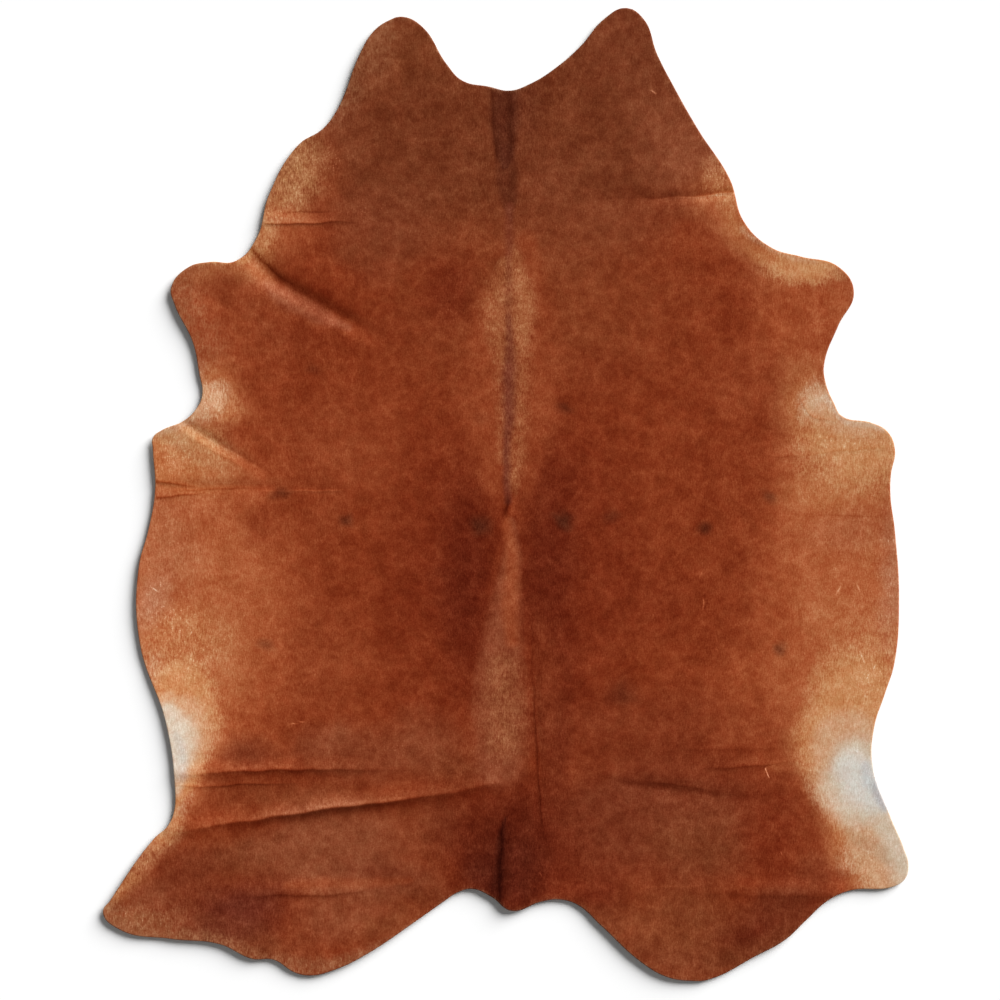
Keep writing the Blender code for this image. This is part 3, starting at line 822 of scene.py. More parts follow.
# %% Patches of the sides, forelegs and armpits
PATCHES += [
    Patch("left side", "copper", -0.684, -0.239, 0.204, 0.498, 1, softness=0.45),
    Patch("left side, middle", "orange tan", -0.616, -0.239, 0.091, 0.127, 0.55),
    Patch("left side, red", "russet", -0.543, -0.044, 0.050, 0.063, 0.75),
    Patch("left side, upper", "orange tan", -0.634, -0.076, 0.045, 0.054, 0.45),
    Patch("left side, by the crease", "copper", -0.607, -0.001, 0.063, 0.020, 0.5),
    Patch("left side, far", "orange tan", -0.783, -0.307, 0.145, 0.340, 0.95, softness=0.7),
    Patch("left side, edge", "hazel", -0.788, -0.130, 0.077, 0.118, 0.85),
    Patch("right side", "copper", 0.791, -0.216, 0.208, 0.521, 1, softness=0.4),
    Patch("right side, far", "orange tan", 0.834, -0.307, 0.136, 0.340, 0.95, softness=0.7),
    Patch("left foreleg", "rust", -0.643, 0.413, 0.154, 0.122, 0.9, softness=0.5),
    Patch("left foreleg, dark", "rust", -0.688, 0.463, 0.036, 0.032, 0.8),
    Patch("left foreleg, inner", "khaki", -0.693, 0.339, 0.050, 0.059, 0.25),
    Patch("left foreleg, end", "khaki", -0.738, 0.441, 0.036, 0.077, 0.5),
    Patch("left foreleg, top", "amber", -0.643, 0.513, 0.104, 0.029, 0.65),
    Patch("left foreleg, corner", "bay", -0.690, 0.511, 0.032, 0.014, 0.35),
    # A painted highlight on the bank of the shoulder crease that faces the lamp.
    Patch("painted highlight beside the shoulder crease", "orange tan", -0.575, 0.522, 0.050, 0.027, 0.5, turn=-30),
    Patch("right foreleg", "copper", 0.685, 0.391, 0.118, 0.131, 0.85, softness=0.6),
    Patch("right foreleg, end", "orange tan", 0.762, 0.445, 0.027, 0.045, 0.3),
    Patch("left armpit, wide", "amber", -0.672, 0.219, 0.070, 0.077, 0.8, softness=0.7),
    Patch("left armpit, under", "amber", -0.607, 0.178, 0.045, 0.023, 0.35, turn=-20),
    Patch("left armpit", "sand", -0.661, 0.219, 0.036, 0.034, 0.75, softness=0.6),
    Patch("left armpit, high", "sand", -0.693, 0.268, 0.016, 0.032, 0.5),
    Patch("left armpit, low", "honey", -0.629, 0.191, 0.036, 0.036, 0.15),
    Patch("left armpit, outer", "dun", -0.697, 0.201, 0.023, 0.032, 0.6),
    Patch("right armpit, wide", "amber", 0.692, 0.207, 0.070, 0.088, 0.85),
    Patch("right armpit", "sand", 0.712, 0.205, 0.041, 0.050, 0.95, softness=0.6),
    Patch("right armpit, palest", "cream", 0.719, 0.205, 0.020, 0.025, 0.2),
    Patch("right armpit, corner", "copper", 0.721, 0.291, 0.023, 0.020, 0.55),
    Patch("left elbow", "amber", -0.738, 0.096, 0.113, 0.077, 0.9, softness=0.5),
    Patch("left elbow, low", "amber", -0.688, 0.033, 0.077, 0.036, 0.6, turn=10),
    Patch("left elbow, high", "honey", -0.734, 0.133, 0.077, 0.032, 0.75, turn=-12, softness=0.7),
    Patch("left elbow, inner", "honey", -0.706, 0.083, 0.063, 0.029, 0.4, turn=-12),
    # Painted shade in these two patches, on the bank of the elbow crease that faces away from the lamp.
    Patch("painted shade above the elbow crease", "rust", -0.634, 0.137, 0.059, 0.023, 0.75, turn=-32),
    Patch("painted shade above the elbow crease, inner", "russet", -0.561, 0.114, 0.054, 0.041, 0.5, turn=-30),
    Patch("right elbow", "gold", 0.803, 0.114, 0.122, 0.082, 0.95, softness=0.5),
    Patch("right elbow, high", "sand", 0.794, 0.160, 0.077, 0.027, 0.6),
    Patch("right elbow, inner", "orange tan", 0.662, 0.096, 0.045, 0.050, 0.4),
    Patch("right belly, high", "orange tan", 0.694, -0.026, 0.054, 0.059, 0.7),
    Patch("right side, middle", "orange tan", 0.689, -0.144, 0.057, 0.118, 0.55),
    Patch("right side, low and middle", "amber", 0.730, -0.289, 0.054, 0.059, 0.35),
    Patch("left side, low", "amber", -0.743, -0.384, 0.131, 0.100, 0.9, softness=0.7),
    Patch("left side, low, rim", "dun", -0.795, -0.420, 0.036, 0.054, 0.35, turn=20),
    Patch("right side, low", "gold", 0.825, -0.443, 0.086, 0.131, 0.7, softness=0.7),
    Patch("right side, low, inner", "gold", 0.766, -0.475, 0.059, 0.086, 0.65),
    Patch("left hip, corner", "sand", -0.756, -0.683, 0.027, 0.050, 0.45),
    Patch("left hip, corner, low", "honey", -0.770, -0.751, 0.029, 0.036, 0.6),
]
print(len(PATCHES), "patches with the sides, forelegs and armpits")

# %% [markdown]
# The back has the deepest and reddest hair. These patches lie over the first ones: the dark bands beside
# the spine, and smaller patches round them, where the coat is a little redder or paler.

# %% Patches from the back outwards
PATCHES += [
    Patch("back, left, wide", "bay red", -0.140, -0.216, 0.136, 0.340, 0.95, softness=0.6),
    Patch("back, left", "mahogany", -0.090, -0.176, 0.059, 0.199, 0.95),
    Patch("back, right, wide", "bay red", 0.168, -0.182, 0.131, 0.340, 0.95, softness=0.6),
    Patch("back, right", "mahogany", 0.100, -0.182, 0.063, 0.249, 0.9),
    Patch("back, right, low", "mahogany", 0.098, -0.534, 0.041, 0.140, 0.9),
    Patch("right of the neck stripe", "dark brown", 0.046, 0.867, 0.032, 0.077, 0.3, softness=0.9),
    Patch("withers", "rust", 0.014, 0.259, 0.091, 0.204, 0.3, softness=0.9),
    Patch("right shoulder blade", "bay red", 0.218, 0.278, 0.059, 0.041, 0.4),
    Patch("left shoulder blade, low", "bay red", -0.244, 0.386, 0.063, 0.045, 0.35),
    Patch("right shoulder, low", "rust", 0.526, 0.255, 0.073, 0.063, 0.5),
    Patch("left of the loin", "russet", -0.185, -0.393, 0.050, 0.095, 0.4),
    Patch("left shoulder blade", "bay red", -0.135, 0.459, 0.059, 0.086, 0.8),
    Patch("left shoulder blade, dark", "mahogany", -0.120, 0.463, 0.045, 0.063, 0.35),
    Patch("left shoulder, low", "bay red", -0.489, 0.373, 0.068, 0.032, 0.5),
    Patch("left of the neck, low", "walnut", -0.339, 0.554, 0.059, 0.032, 0.6),
    Patch("right side, low and inside", "copper", 0.558, -0.420, 0.077, 0.100, 0.6),
    Patch("right side, by the freckle", "orange tan", 0.635, -0.411, 0.043, 0.082, 0.5),
    Patch("right elbow, below", "orange tan", 0.739, -0.003, 0.059, 0.050, 0.6),
    Patch("right elbow, low", "amber", 0.753, 0.019, 0.104, 0.039, 0.9),
    Patch("right side, band", "hazel", 0.771, -0.080, 0.091, 0.041, 0.5),
    Patch("right side, rim", "rose", 0.873, -0.194, 0.025, 0.140, 0.45),
    Patch("right of the back, patch", "bay red", 0.345, -0.244, 0.063, 0.077, 0.6),
    Patch("right of the loin", "bay", 0.304, -0.529, 0.204, 0.077, 0.45),
    Patch("below the right rump fold", "mahogany", 0.263, -0.683, 0.100, 0.034, 0.9, turn=4),
    Patch("by the tail, right", "mahogany", 0.200, -0.919, 0.068, 0.059, 0.8),
    Patch("by the tail, right, high", "mahogany", 0.241, -0.810, 0.059, 0.073, 0.45),
    Patch("right buttock, inner", "walnut", 0.218, -0.973, 0.068, 0.036, 0.7, turn=20),
    Patch("right buttock, low", "walnut", 0.417, -1.046, 0.136, 0.041, 0.8),
    Patch("left of the tail, low", "walnut", -0.244, -0.882, 0.086, 0.045, 0.9),
    Patch("left of the shoulder", "rust", -0.466, 0.509, 0.059, 0.036, 0.5),
    Patch("below the shoulder crease", "russet", -0.507, 0.413, 0.068, 0.036, 0.6, turn=-25),
    Patch("left of the tail, high", "walnut", -0.108, -0.756, 0.059, 0.050, 0.5),
    Patch("left of the tail, higher", "umber", -0.163, -0.742, 0.068, 0.077, 0.45),
    Patch("left side, bright", "rust", -0.376, 0.110, 0.104, 0.104, 0.8),
    Patch("left side, bright, middle", "rust", -0.416, -0.053, 0.045, 0.054, 0.45),
    Patch("left side, bright, low", "rust", -0.407, -0.384, 0.077, 0.118, 0.7),
    Patch("left belly, dusty", "rose", -0.806, -0.275, 0.034, 0.073, 0.6, turn=-14),
    Patch("left belly, orange", "amber", -0.729, -0.348, 0.082, 0.063, 0.95),
    Patch("left belly, gold", "gold", -0.734, -0.343, 0.082, 0.054, 0.4),
    Patch("hip, left of the loin", "clay", -0.190, -0.568, 0.086, 0.054, 0.6),
    Patch("hips, left", "umber", -0.339, -0.611, 0.159, 0.050, 0.6),
    Patch("left of the loin, low", "walnut", -0.099, -0.629, 0.077, 0.036, 0.6),
    Patch("right hip", "rust", 0.542, -0.534, 0.082, 0.045, 0.6),
]
print(len(PATCHES), "patches with the back")

# %% [markdown]
# The rump is a cooler brown than the sides. It is darkest round the tail, where several patches lie over
# each other, and dusty at the end of the left hind leg.

# %% Patches of the hips, rump and tail
PATCHES += [
    Patch("left hip", "russet", -0.575, -0.692, 0.150, 0.100, 0.9, softness=0.6),
    Patch("between the rump folds", "chestnut", -0.466, -0.692, 0.227, 0.036, 0.5, turn=-6),
    Patch("left hip, low", "walnut", -0.607, -0.805, 0.082, 0.045, 0.85),
    Patch("left hip, dark", "bay", -0.579, -0.583, 0.059, 0.036, 0.75),
    Patch("left hip, clay", "clay", -0.387, -0.561, 0.068, 0.032, 0.6),
    Patch("left rump", "clay", -0.398, -0.801, 0.172, 0.095, 0.95, softness=0.5),
    Patch("left rump, toward the tail", "bay", -0.276, -0.864, 0.091, 0.041, 0.8, turn=-6),
    Patch("left thigh", "oxblood", -0.611, -0.946, 0.113, 0.068, 0.95, turn=12, softness=0.7),
    Patch("left thigh, low", "walnut", -0.566, -1.009, 0.131, 0.032, 0.9, turn=-16),
    Patch("left thigh, dark", "oxblood", -0.616, -0.987, 0.073, 0.027, 0.6),
    Patch("left buttock", "clay", -0.366, -0.946, 0.113, 0.059, 0.7, turn=20, softness=0.6),
    Patch("left buttock, low", "chestnut", -0.258, -0.978, 0.082, 0.032, 0.7, turn=24),
    Patch("left buttock, by the tail", "walnut", -0.154, -0.919, 0.041, 0.029, 0.6),
    Patch("left hind leg", "bay", -0.724, -0.869, 0.095, 0.073, 0.8, turn=30, softness=0.6),
    Patch("left hind leg, clay", "clay", -0.811, -0.892, 0.050, 0.032, 0.6),
    Patch("left hind leg, end", "khaki", -0.838, -0.964, 0.086, 0.045, 0.5),
    Patch("left hind leg, tan", "amber", -0.815, -0.955, 0.050, 0.018, 0.15),
    Patch("left hind leg, rim", "amber", -0.865, -0.882, 0.063, 0.020, 0.5, turn=42),
    Patch("right rump", "bay", 0.349, -0.737, 0.272, 0.140, 0.9, softness=0.5),
    Patch("right rump, middle", "chestnut", 0.440, -0.783, 0.104, 0.068, 0.6, softness=0.7),
    Patch("right rump, upper", "bay", 0.386, -0.733, 0.091, 0.036, 0.4),
    Patch("beside the right flank", "bay red", 0.617, -0.787, 0.082, 0.104, 0.9, turn=15, softness=0.7),
    Patch("beside the right flank, low", "rust", 0.685, -0.778, 0.032, 0.050, 0.45, turn=-20),
    Patch("right hind leg, inner", "umber", 0.712, -0.851, 0.041, 0.045, 0.45),
    Patch("right thigh", "chestnut", 0.395, -0.964, 0.136, 0.077, 0.8, softness=0.6),
    Patch("right thigh, outer", "bay", 0.610, -0.960, 0.122, 0.063, 0.95, turn=22, softness=0.7),
    Patch("right thigh, low", "mahogany", 0.601, -1.021, 0.091, 0.041, 1, turn=-20),
    Patch("tail halo", "mahogany", 0.014, -0.810, 0.159, 0.163, 0.85, softness=0.5),
    Patch("tail, left", "dark bay", -0.058, -0.864, 0.041, 0.045, 0.4, softness=0.9),
    Patch("tail", "dark bay", 0.014, -0.842, 0.073, 0.100, 0.6),
    Patch("loin, right edge", "rust", 0.089, -0.443, 0.032, 0.159, 0.3),
]
print(len(PATCHES), "patches with the hips, rump and tail")

# %% [markdown]
# Dark freckles of two or three centimetres are strewn over the back and sides, and a small orange spot lies
# by a scar on the rump. They are patches like any other, only small and very soft, so they need no tool of
# their own.

# %% Freckles
PATCHES += [
    Patch("freckle, left shoulder", "smoke", -0.063, 0.185, 0.016, 0.014, 0.6, softness=0.9),
    Patch("freckle, right shoulder", "smoke", 0.130, 0.185, 0.016, 0.011, 0.6, softness=0.9),
    Patch("freckle, left of the back", "smoke", -0.063, -0.056, 0.020, 0.016, 0.8),
    Patch("freckle, right of the back", "smoke", 0.132, -0.056, 0.018, 0.016, 0.9),
    Patch("freckle, right of the back, faint", "smoke", 0.232, -0.042, 0.018, 0.014, 0.45, softness=0.9),
    Patch("freckle, left side", "smoke", -0.364, -0.067, 0.014, 0.014, 0.7, softness=0.9),
    Patch("freckle, belly crease", "smoke", -0.509, 0.006, 0.020, 0.011, 0.55, softness=0.9),
    Patch("freckle, left side, low", "smoke", -0.541, -0.334, 0.016, 0.014, 0.45, softness=0.9),
    Patch("freckle, left shoulder, faint", "smoke", -0.428, 0.291, 0.016, 0.014, 0.35, softness=0.9),
    Patch("freckle, right side", "smoke", 0.445, -0.074, 0.014, 0.014, 0.7, softness=0.9),
    Patch("freckle, right side, high", "smoke", 0.601, 0.008, 0.016, 0.014, 0.6, softness=0.9),
    Patch("freckle, right side, low", "smoke", 0.628, -0.350, 0.014, 0.014, 0.65, softness=0.9),
    Patch("freckle, right of the loin", "smoke", 0.268, -0.438, 0.032, 0.023, 0.5, softness=0.9),
    Patch("orange patch by the scar", "orange tan", 0.621, -0.624, 0.014, 0.014, 0.5),
]
print(len(PATCHES), "patches with the freckles")

# %% [markdown]
# Narrow things such as the dark stripe down the neck or the parting along the spine would take a row of
# patches, and the joins would show. A stroke is laid in instead, as with a brush: it has a tone, a softness
# and a strength, and runs along a route with a half width at each place.

# %% Strokes of the neck and the spine
Stroke = namedtuple("Stroke", "name tone softness strength route")
STROKES = [
    Stroke("neck stripe", "dark brown", 0.45, 0.72, [
        (-0.002, 0.930, 0.032), (-0.002, 0.860, 0.031), (-0.002, 0.803, 0.027), (-0.002, 0.762, 0.018),
        (-0.002, 0.744, 0.007)]),
    Stroke("neck stripe, low", "dark brown", 0.5, 0.5, [
        (-0.002, 0.781, 0.016), (0.001, 0.747, 0.023), (0.003, 0.708, 0.023), (0.005, 0.672, 0.019),
        (0.007, 0.645, 0.009), (0.010, 0.622, 0.005)]),
    Stroke("haze left of the spine", "rust", 0.9, 0.75, [
        (-0.036, 0.441, 0.023), (-0.049, 0.339, 0.036), (-0.049, 0.248, 0.045), (-0.045, 0.169, 0.045),
        (-0.036, 0.101, 0.036), (-0.027, 0.022, 0.020)]),
    Stroke("haze right of the spine", "rust", 0.9, 0.7, [
        (0.046, 0.577, 0.018), (0.059, 0.463, 0.034), (0.073, 0.373, 0.039), (0.073, 0.282, 0.045),
        (0.069, 0.191, 0.039), (0.057, 0.101, 0.032), (0.046, 0.022, 0.020)]),
    Stroke("light hair, left of the spine", "fawn", 0.9, 0.5, [
        (-0.006, 0.527, 0.007), (-0.013, 0.481, 0.016), (-0.022, 0.436, 0.025), (-0.020, 0.377, 0.023),
        (-0.013, 0.314, 0.014)]),
    Stroke("light hair, left of the line", "fawn", 0.9, 0.25, [
        (-0.013, 0.305, 0.011), (-0.013, 0.169, 0.009), (-0.011, 0.078, 0.007)]),
    Stroke("light hair, right of the spine", "fawn", 0.9, 0.4, [
        (0.019, 0.549, 0.009), (0.030, 0.491, 0.018), (0.039, 0.441, 0.023), (0.039, 0.350, 0.020),
        (0.035, 0.214, 0.016), (0.030, 0.112, 0.016), (0.025, 0.044, 0.014), (0.023, 0.010, 0.007)]),
    Stroke("light hair, right, palest", "fawn", 0.9, 0.6, [
        (0.028, 0.504, 0.007), (0.037, 0.472, 0.014), (0.044, 0.436, 0.018), (0.039, 0.377, 0.014),
        (0.037, 0.336, 0.009)]),
    Stroke("light hair, middle", "fawn", 0.9, 0.12, [
        (0.012, 0.527, 0.009), (0.010, 0.463, 0.014), (0.007, 0.427, 0.007)]),
    Stroke("spine line, upper", "plum", 0.8, 0.5, [
        (0.007, 0.656, 0.007), (0.005, 0.588, 0.010), (0.005, 0.531, 0.009), (0.007, 0.395, 0.009)]),
    Stroke("spine line", "plum", 0.7, 0.95, [
        (0.007, 0.400, 0.007), (0.010, 0.350, 0.012), (0.010, 0.287, 0.017), (0.007, 0.214, 0.016),
        (0.005, 0.123, 0.011), (0.005, 0.033, 0.010), (0.005, -0.012, 0.009)]),
    Stroke("loin", "taupe", 0.5, 0.9, [
        (0.012, -0.058, 0.009), (0.014, -0.126, 0.018), (0.005, -0.228, 0.029), (-0.006, -0.318, 0.039),
        (-0.013, -0.420, 0.050), (-0.011, -0.534, 0.057), (-0.013, -0.611, 0.050)]),
    Stroke("loin, palest", "fawn", 0.9, 0.3, [
        (-0.008, -0.393, 0.032), (-0.006, -0.466, 0.041), (-0.004, -0.556, 0.036)]),
    Stroke("loin, upper", "copper", 0.8, 0.55, [
        (0.003, -0.062, 0.011), (0.014, -0.148, 0.014), (0.012, -0.250, 0.018), (0.014, -0.330, 0.014)]),
]
print(len(STROKES), "strokes on the neck and the spine")

# %% [markdown]
# The flanks, in front of the hind legs, are where the skin is thinnest and the hair almost white. A single
# pale stroke would look like spilt paint. Each flank is built up from its halo inwards, in ever narrower
# and paler strokes, and a little blue grey on top is the skin that shows through.

# %% Strokes of the pale flanks
STROKES += [
    Stroke("right flank, halo", "amber", 0.3, 0.95, [
        (0.785, -0.443, 0.097), (0.791, -0.515, 0.140), (0.794, -0.568, 0.147), (0.807, -0.633, 0.122),
        (0.828, -0.697, 0.113), (0.857, -0.756, 0.129), (0.877, -0.796, 0.136), (0.889, -0.855, 0.109)]),
    Stroke("right flank, golden", "gold", 0.3, 0.9, [
        (0.796, -0.443, 0.063), (0.787, -0.515, 0.104), (0.787, -0.568, 0.120), (0.800, -0.633, 0.104),
        (0.823, -0.697, 0.091), (0.855, -0.760, 0.082), (0.875, -0.824, 0.075), (0.884, -0.855, 0.059)]),
    Stroke("right hind leg", "dun", 0.5, 0.92, [
        (0.821, -0.742, 0.054), (0.846, -0.787, 0.086), (0.871, -0.828, 0.079), (0.877, -0.864, 0.068)]),
    Stroke("right flank, sand", "sand", 0.25, 0.9, [
        (0.775, -0.577, 0.084), (0.787, -0.611, 0.097), (0.796, -0.647, 0.100), (0.828, -0.697, 0.082),
        (0.868, -0.747, 0.050), (0.896, -0.796, 0.034), (0.905, -0.851, 0.027)]),
    Stroke("right flank, pale", "cream", 0.4, 0.9, [
        (0.798, -0.613, 0.063), (0.800, -0.645, 0.084), (0.818, -0.681, 0.073), (0.852, -0.710, 0.054),
        (0.884, -0.751, 0.032)]),
    Stroke("right flank, white", "chalk", 0.6, 0.95, [
        (0.785, -0.624, 0.041), (0.809, -0.647, 0.054), (0.839, -0.681, 0.039)]),
    Stroke("right hind leg, rim", "cream", 0.9, 0.9, [
        (0.866, -0.737, 0.027), (0.893, -0.792, 0.036), (0.907, -0.864, 0.032)]),
    Stroke("left flank, halo", "orange tan", 0.45, 0.9, [
        (-0.752, -0.411, 0.127), (-0.743, -0.493, 0.118), (-0.740, -0.545, 0.097), (-0.745, -0.590, 0.075),
        (-0.754, -0.642, 0.070), (-0.768, -0.697, 0.057), (-0.788, -0.751, 0.041)]),
    Stroke("left flank, gold", "gold", 0.35, 0.88, [
        (-0.729, -0.447, 0.068), (-0.738, -0.493, 0.093), (-0.740, -0.534, 0.086), (-0.743, -0.579, 0.068),
        (-0.749, -0.633, 0.052), (-0.763, -0.681, 0.032), (-0.777, -0.726, 0.018)]),
    Stroke("left flank, sand", "sand", 0.4, 0.8, [
        (-0.765, -0.470, 0.025), (-0.752, -0.493, 0.061), (-0.745, -0.534, 0.073), (-0.745, -0.583, 0.061),
        (-0.754, -0.629, 0.039), (-0.761, -0.670, 0.018)]),
    Stroke("left flank, pale", "cream", 0.45, 0.82, [
        (-0.765, -0.493, 0.025), (-0.754, -0.520, 0.043), (-0.747, -0.561, 0.050), (-0.749, -0.597, 0.034),
        (-0.761, -0.633, 0.016)]),
    Stroke("left flank, white", "chalk", 0.8, 0.45, [
        (-0.770, -0.497, 0.018), (-0.756, -0.538, 0.029), (-0.749, -0.574, 0.025),
        (-0.752, -0.611, 0.014)]),
    Stroke("left flank, blue grey", "dove", 0.8, 0.35, [
        (-0.747, -0.545, 0.009), (-0.738, -0.590, 0.014), (-0.738, -0.629, 0.014)]),
    Stroke("right flank, blue grey", "dove", 0.8, 0.6, [
        (0.848, -0.636, 0.009), (0.839, -0.670, 0.011), (0.857, -0.706, 0.011)]),
    Stroke("right flank, blue grey, high", "dove", 0.8, 0.4, [
        (0.816, -0.613, 0.011), (0.821, -0.647, 0.016)]),
]
print(len(STROKES), "strokes with the flanks")

# %% [markdown]
# The last strokes are a painted highlight along the rim, where the hair catches the light, painted light
# and shade at the folds of the left thigh, the tail and the shoulder, and a darker edge to the right
# buttock.

# %% Strokes along the rim and in the folds
STROKES += [
    # Painted highlights along the rim, where the hair catches the light.
    Stroke("rim of the left foreleg", "gold", 0.9, 0.55, [
        (-0.702, 0.520, 0.005), (-0.647, 0.525, 0.007), (-0.591, 0.529, 0.009), (-0.575, 0.554, 0.005)]),
    Stroke("rim of the left elbow", "sand", 0.9, 0.6, [
        (-0.783, 0.139, 0.005), (-0.738, 0.162, 0.007), (-0.706, 0.178, 0.007), (-0.693, 0.203, 0.005)]),
    Stroke("rim above the right foreleg", "sand", 0.9, 0.4, [
        (0.535, 0.604, 0.005), (0.549, 0.588, 0.005), (0.610, 0.554, 0.005), (0.662, 0.536, 0.005),
        (0.701, 0.529, 0.005)]),
    Stroke("rim of the right elbow", "cream", 0.9, 0.4, [
        (0.726, 0.225, 0.005), (0.748, 0.187, 0.005), (0.775, 0.164, 0.005), (0.816, 0.160, 0.005),
        (0.852, 0.146, 0.005)]),
    Stroke("rim of the left hind leg", "gold", 0.9, 0.4, [
        (-0.756, -0.742, 0.020), (-0.806, -0.801, 0.023), (-0.865, -0.869, 0.020),
        (-0.903, -0.928, 0.014)]),
    Stroke("rim of the left thigh", "khaki", 0.9, 0.5, [
        (-0.906, -0.930, 0.018), (-0.869, -0.973, 0.018), (-0.783, -0.998, 0.018), (-0.675, -1.005, 0.016),
        (-0.579, -1.043, 0.016), (-0.493, -1.068, 0.018), (-0.398, -1.068, 0.016),
        (-0.274, -1.021, 0.011)]),
    Stroke("left flank, rim", "peach", 0.9, 0.5, [
        (-0.770, -0.493, 0.014), (-0.756, -0.534, 0.016), (-0.747, -0.620, 0.016),
        (-0.747, -0.670, 0.011)]),
    # A painted highlight on the lit top of the left thigh fold.
    Stroke("left thigh fold, painted highlight", "rust", 0.8, 0.5, [
        (-0.498, -0.887, 0.007), (-0.421, -0.882, 0.011), (-0.330, -0.880, 0.011),
        (-0.217, -0.873, 0.007)]),
    # Painted shade on the side of the tail fold that faces away from the lamp.
    Stroke("painted shade of the tail fold", "dark bay", 0.5, 0.6, [
        (-0.004, -0.733, 0.003), (-0.008, -0.774, 0.009), (-0.013, -0.833, 0.011), (-0.018, -0.892, 0.014),
        (-0.018, -0.930, 0.011)]),
    # A painted highlight on the bank of the shoulder crease that faces the lamp.
    Stroke("shoulder crease, painted highlight", "rose", 0.8, 0.16, [
        (-0.539, 0.477, 0.011), (-0.500, 0.450, 0.018), (-0.455, 0.427, 0.018), (-0.410, 0.402, 0.014),
        (-0.357, 0.377, 0.007)]),
    Stroke("right buttock, edge", "walnut", 0.8, 0.7, [
        (0.157, -0.946, 0.032), (0.236, -0.998, 0.041), (0.327, -1.055, 0.041), (0.417, -1.077, 0.036),
        (0.531, -1.050, 0.032), (0.644, -0.998, 0.027)]),
]
print(len(STROKES), "strokes with the rim and the folds")

# %% [markdown]
# ## From the rows to colours
#
# Ellipses and brush strokes look drawn as long as their borders are clean. On the animal a border is ragged
# at every size, because dark and pale hairs grow through each other. So the places are moved by noise of
# three sizes before the rows are laid over them. Strokes are moved less, or the stripe on the neck would
# break up.

# %% Bend the borders
WARPS = [(0.16, 0.020), (0.05, 0.012), (0.018, 0.006)]  # size of the noise, and how far it moves a border
PATCH_NOISE = 3.1
STROKE_SHARE = 0.3  # strokes are moved by this share of what patches are
STROKE_STEP = 0.01
THINNEST = 1e-6


def bent(x, y):
    """The places moved by slow noise."""
    moved_x, moved_y = x.copy(), y.copy()
    for size, reach in WARPS:
        moves = np.array(sway(x, y, size, PATCH_NOISE))
        moved_x += reach * moves[:, 0]
        moved_y += reach * moves[:, 1]
    return moved_x, moved_y


def cover(outward, softness):
    """1 well inside a border, 0 well outside; outward is 1 on the border itself."""
    return swell(np.clip((outward - (1 - softness)) / (2 * softness), 0, 1), 1)


def patch_cover(patch, x, y):
    turn = math.radians(patch.turn)
    dx, dy = x - patch.x, y - patch.y
    u = (dx * math.cos(turn) + dy * math.sin(turn)) / patch.half_x
    v = (dy * math.cos(turn) - dx * math.sin(turn)) / patch.half_y
    return patch.strength * cover(np.hypot(u, v), patch.softness)


def stroke_cover(stroke, x, y):
    route = smooth_route(stroke.route, STROKE_STEP)
    distance, _, half_width = nearest_on_route(route, x, y, 2 * route[:, 2].max())
    return stroke.strength * cover(distance / np.maximum(half_width, THINNEST), stroke.softness)


bent_x, bent_y = bent(flat_x, flat_y)
print(f"borders are moved by up to {1000 * np.hypot(bent_x - flat_x, bent_y - flat_y).max():.0f} mm")

# %% [markdown]
# Where brown hair turns white, mixing the two tones would give a pinkish brown that no hair has. On the
# hide each hair is one or the other, and only their share changes. So the brown coat and the pale hair are
# mixed apart, and the share of pale hair is kept with them. The finish can then sort it into single locks.

# %% Mix the brown coat and the pale hair
PALE_TONES = ("tan", "dun", "honey", "gold", "fawn", "khaki", "sand", "peach", "cream", "chalk", "dove")
RIM_HIGHLIGHT_SHARE = 0.10
RIM_REACH = 0.0030
TRACE = 0.02  # with less pale hair than this, its own tone can't be told


def laid_over(ground, layers, count):
    """The ground's tone with layers of other tones over it, and the share of it that still shows."""
    colours, left = np.tile(linear(ground), (count, 1)), np.ones(count)
    for tone, weight in layers:
        colours += (linear(tone) - colours) * weight[:, None]
        left *= 1 - weight
    return colours, left


def coat_colours(x, y, bent_x, bent_y, from_edge):
    """The brown coat, the pale hair that lies over it, and the pale hair's share."""
    layers = [(patch.tone, patch_cover(patch, bent_x, bent_y)) for patch in PATCHES]
    less_bent = x + (bent_x - x) * STROKE_SHARE, y + (bent_y - y) * STROKE_SHARE
    layers += [(stroke.tone, stroke_cover(stroke, *less_bent)) for stroke in STROKES]
    # A painted highlight along the very edge of the coat, fading inwards.
    layers += [("sand", RIM_HIGHLIGHT_SHARE * np.exp(-from_edge / RIM_REACH))]
    brown, _ = laid_over("russet", [layer for layer in layers if layer[0] not in PALE_TONES], len(x))
    pale, left = laid_over("honey", [layer for layer in layers if layer[0] in PALE_TONES], len(x))
    share = 1 - left
    alone = (pale - linear("honey") * left[:, None]) / np.maximum(share, TRACE)[:, None]
    pale = np.where(share[:, None] > TRACE, alone, linear("honey"))
    return brown, pale, share


brown, pale, pale_share = coat_colours(flat_x, flat_y, bent_x, bent_y, from_edge)
print(f"pale hair covers {100 * pale_share[on_top].mean():.0f} per cent of the points on top")
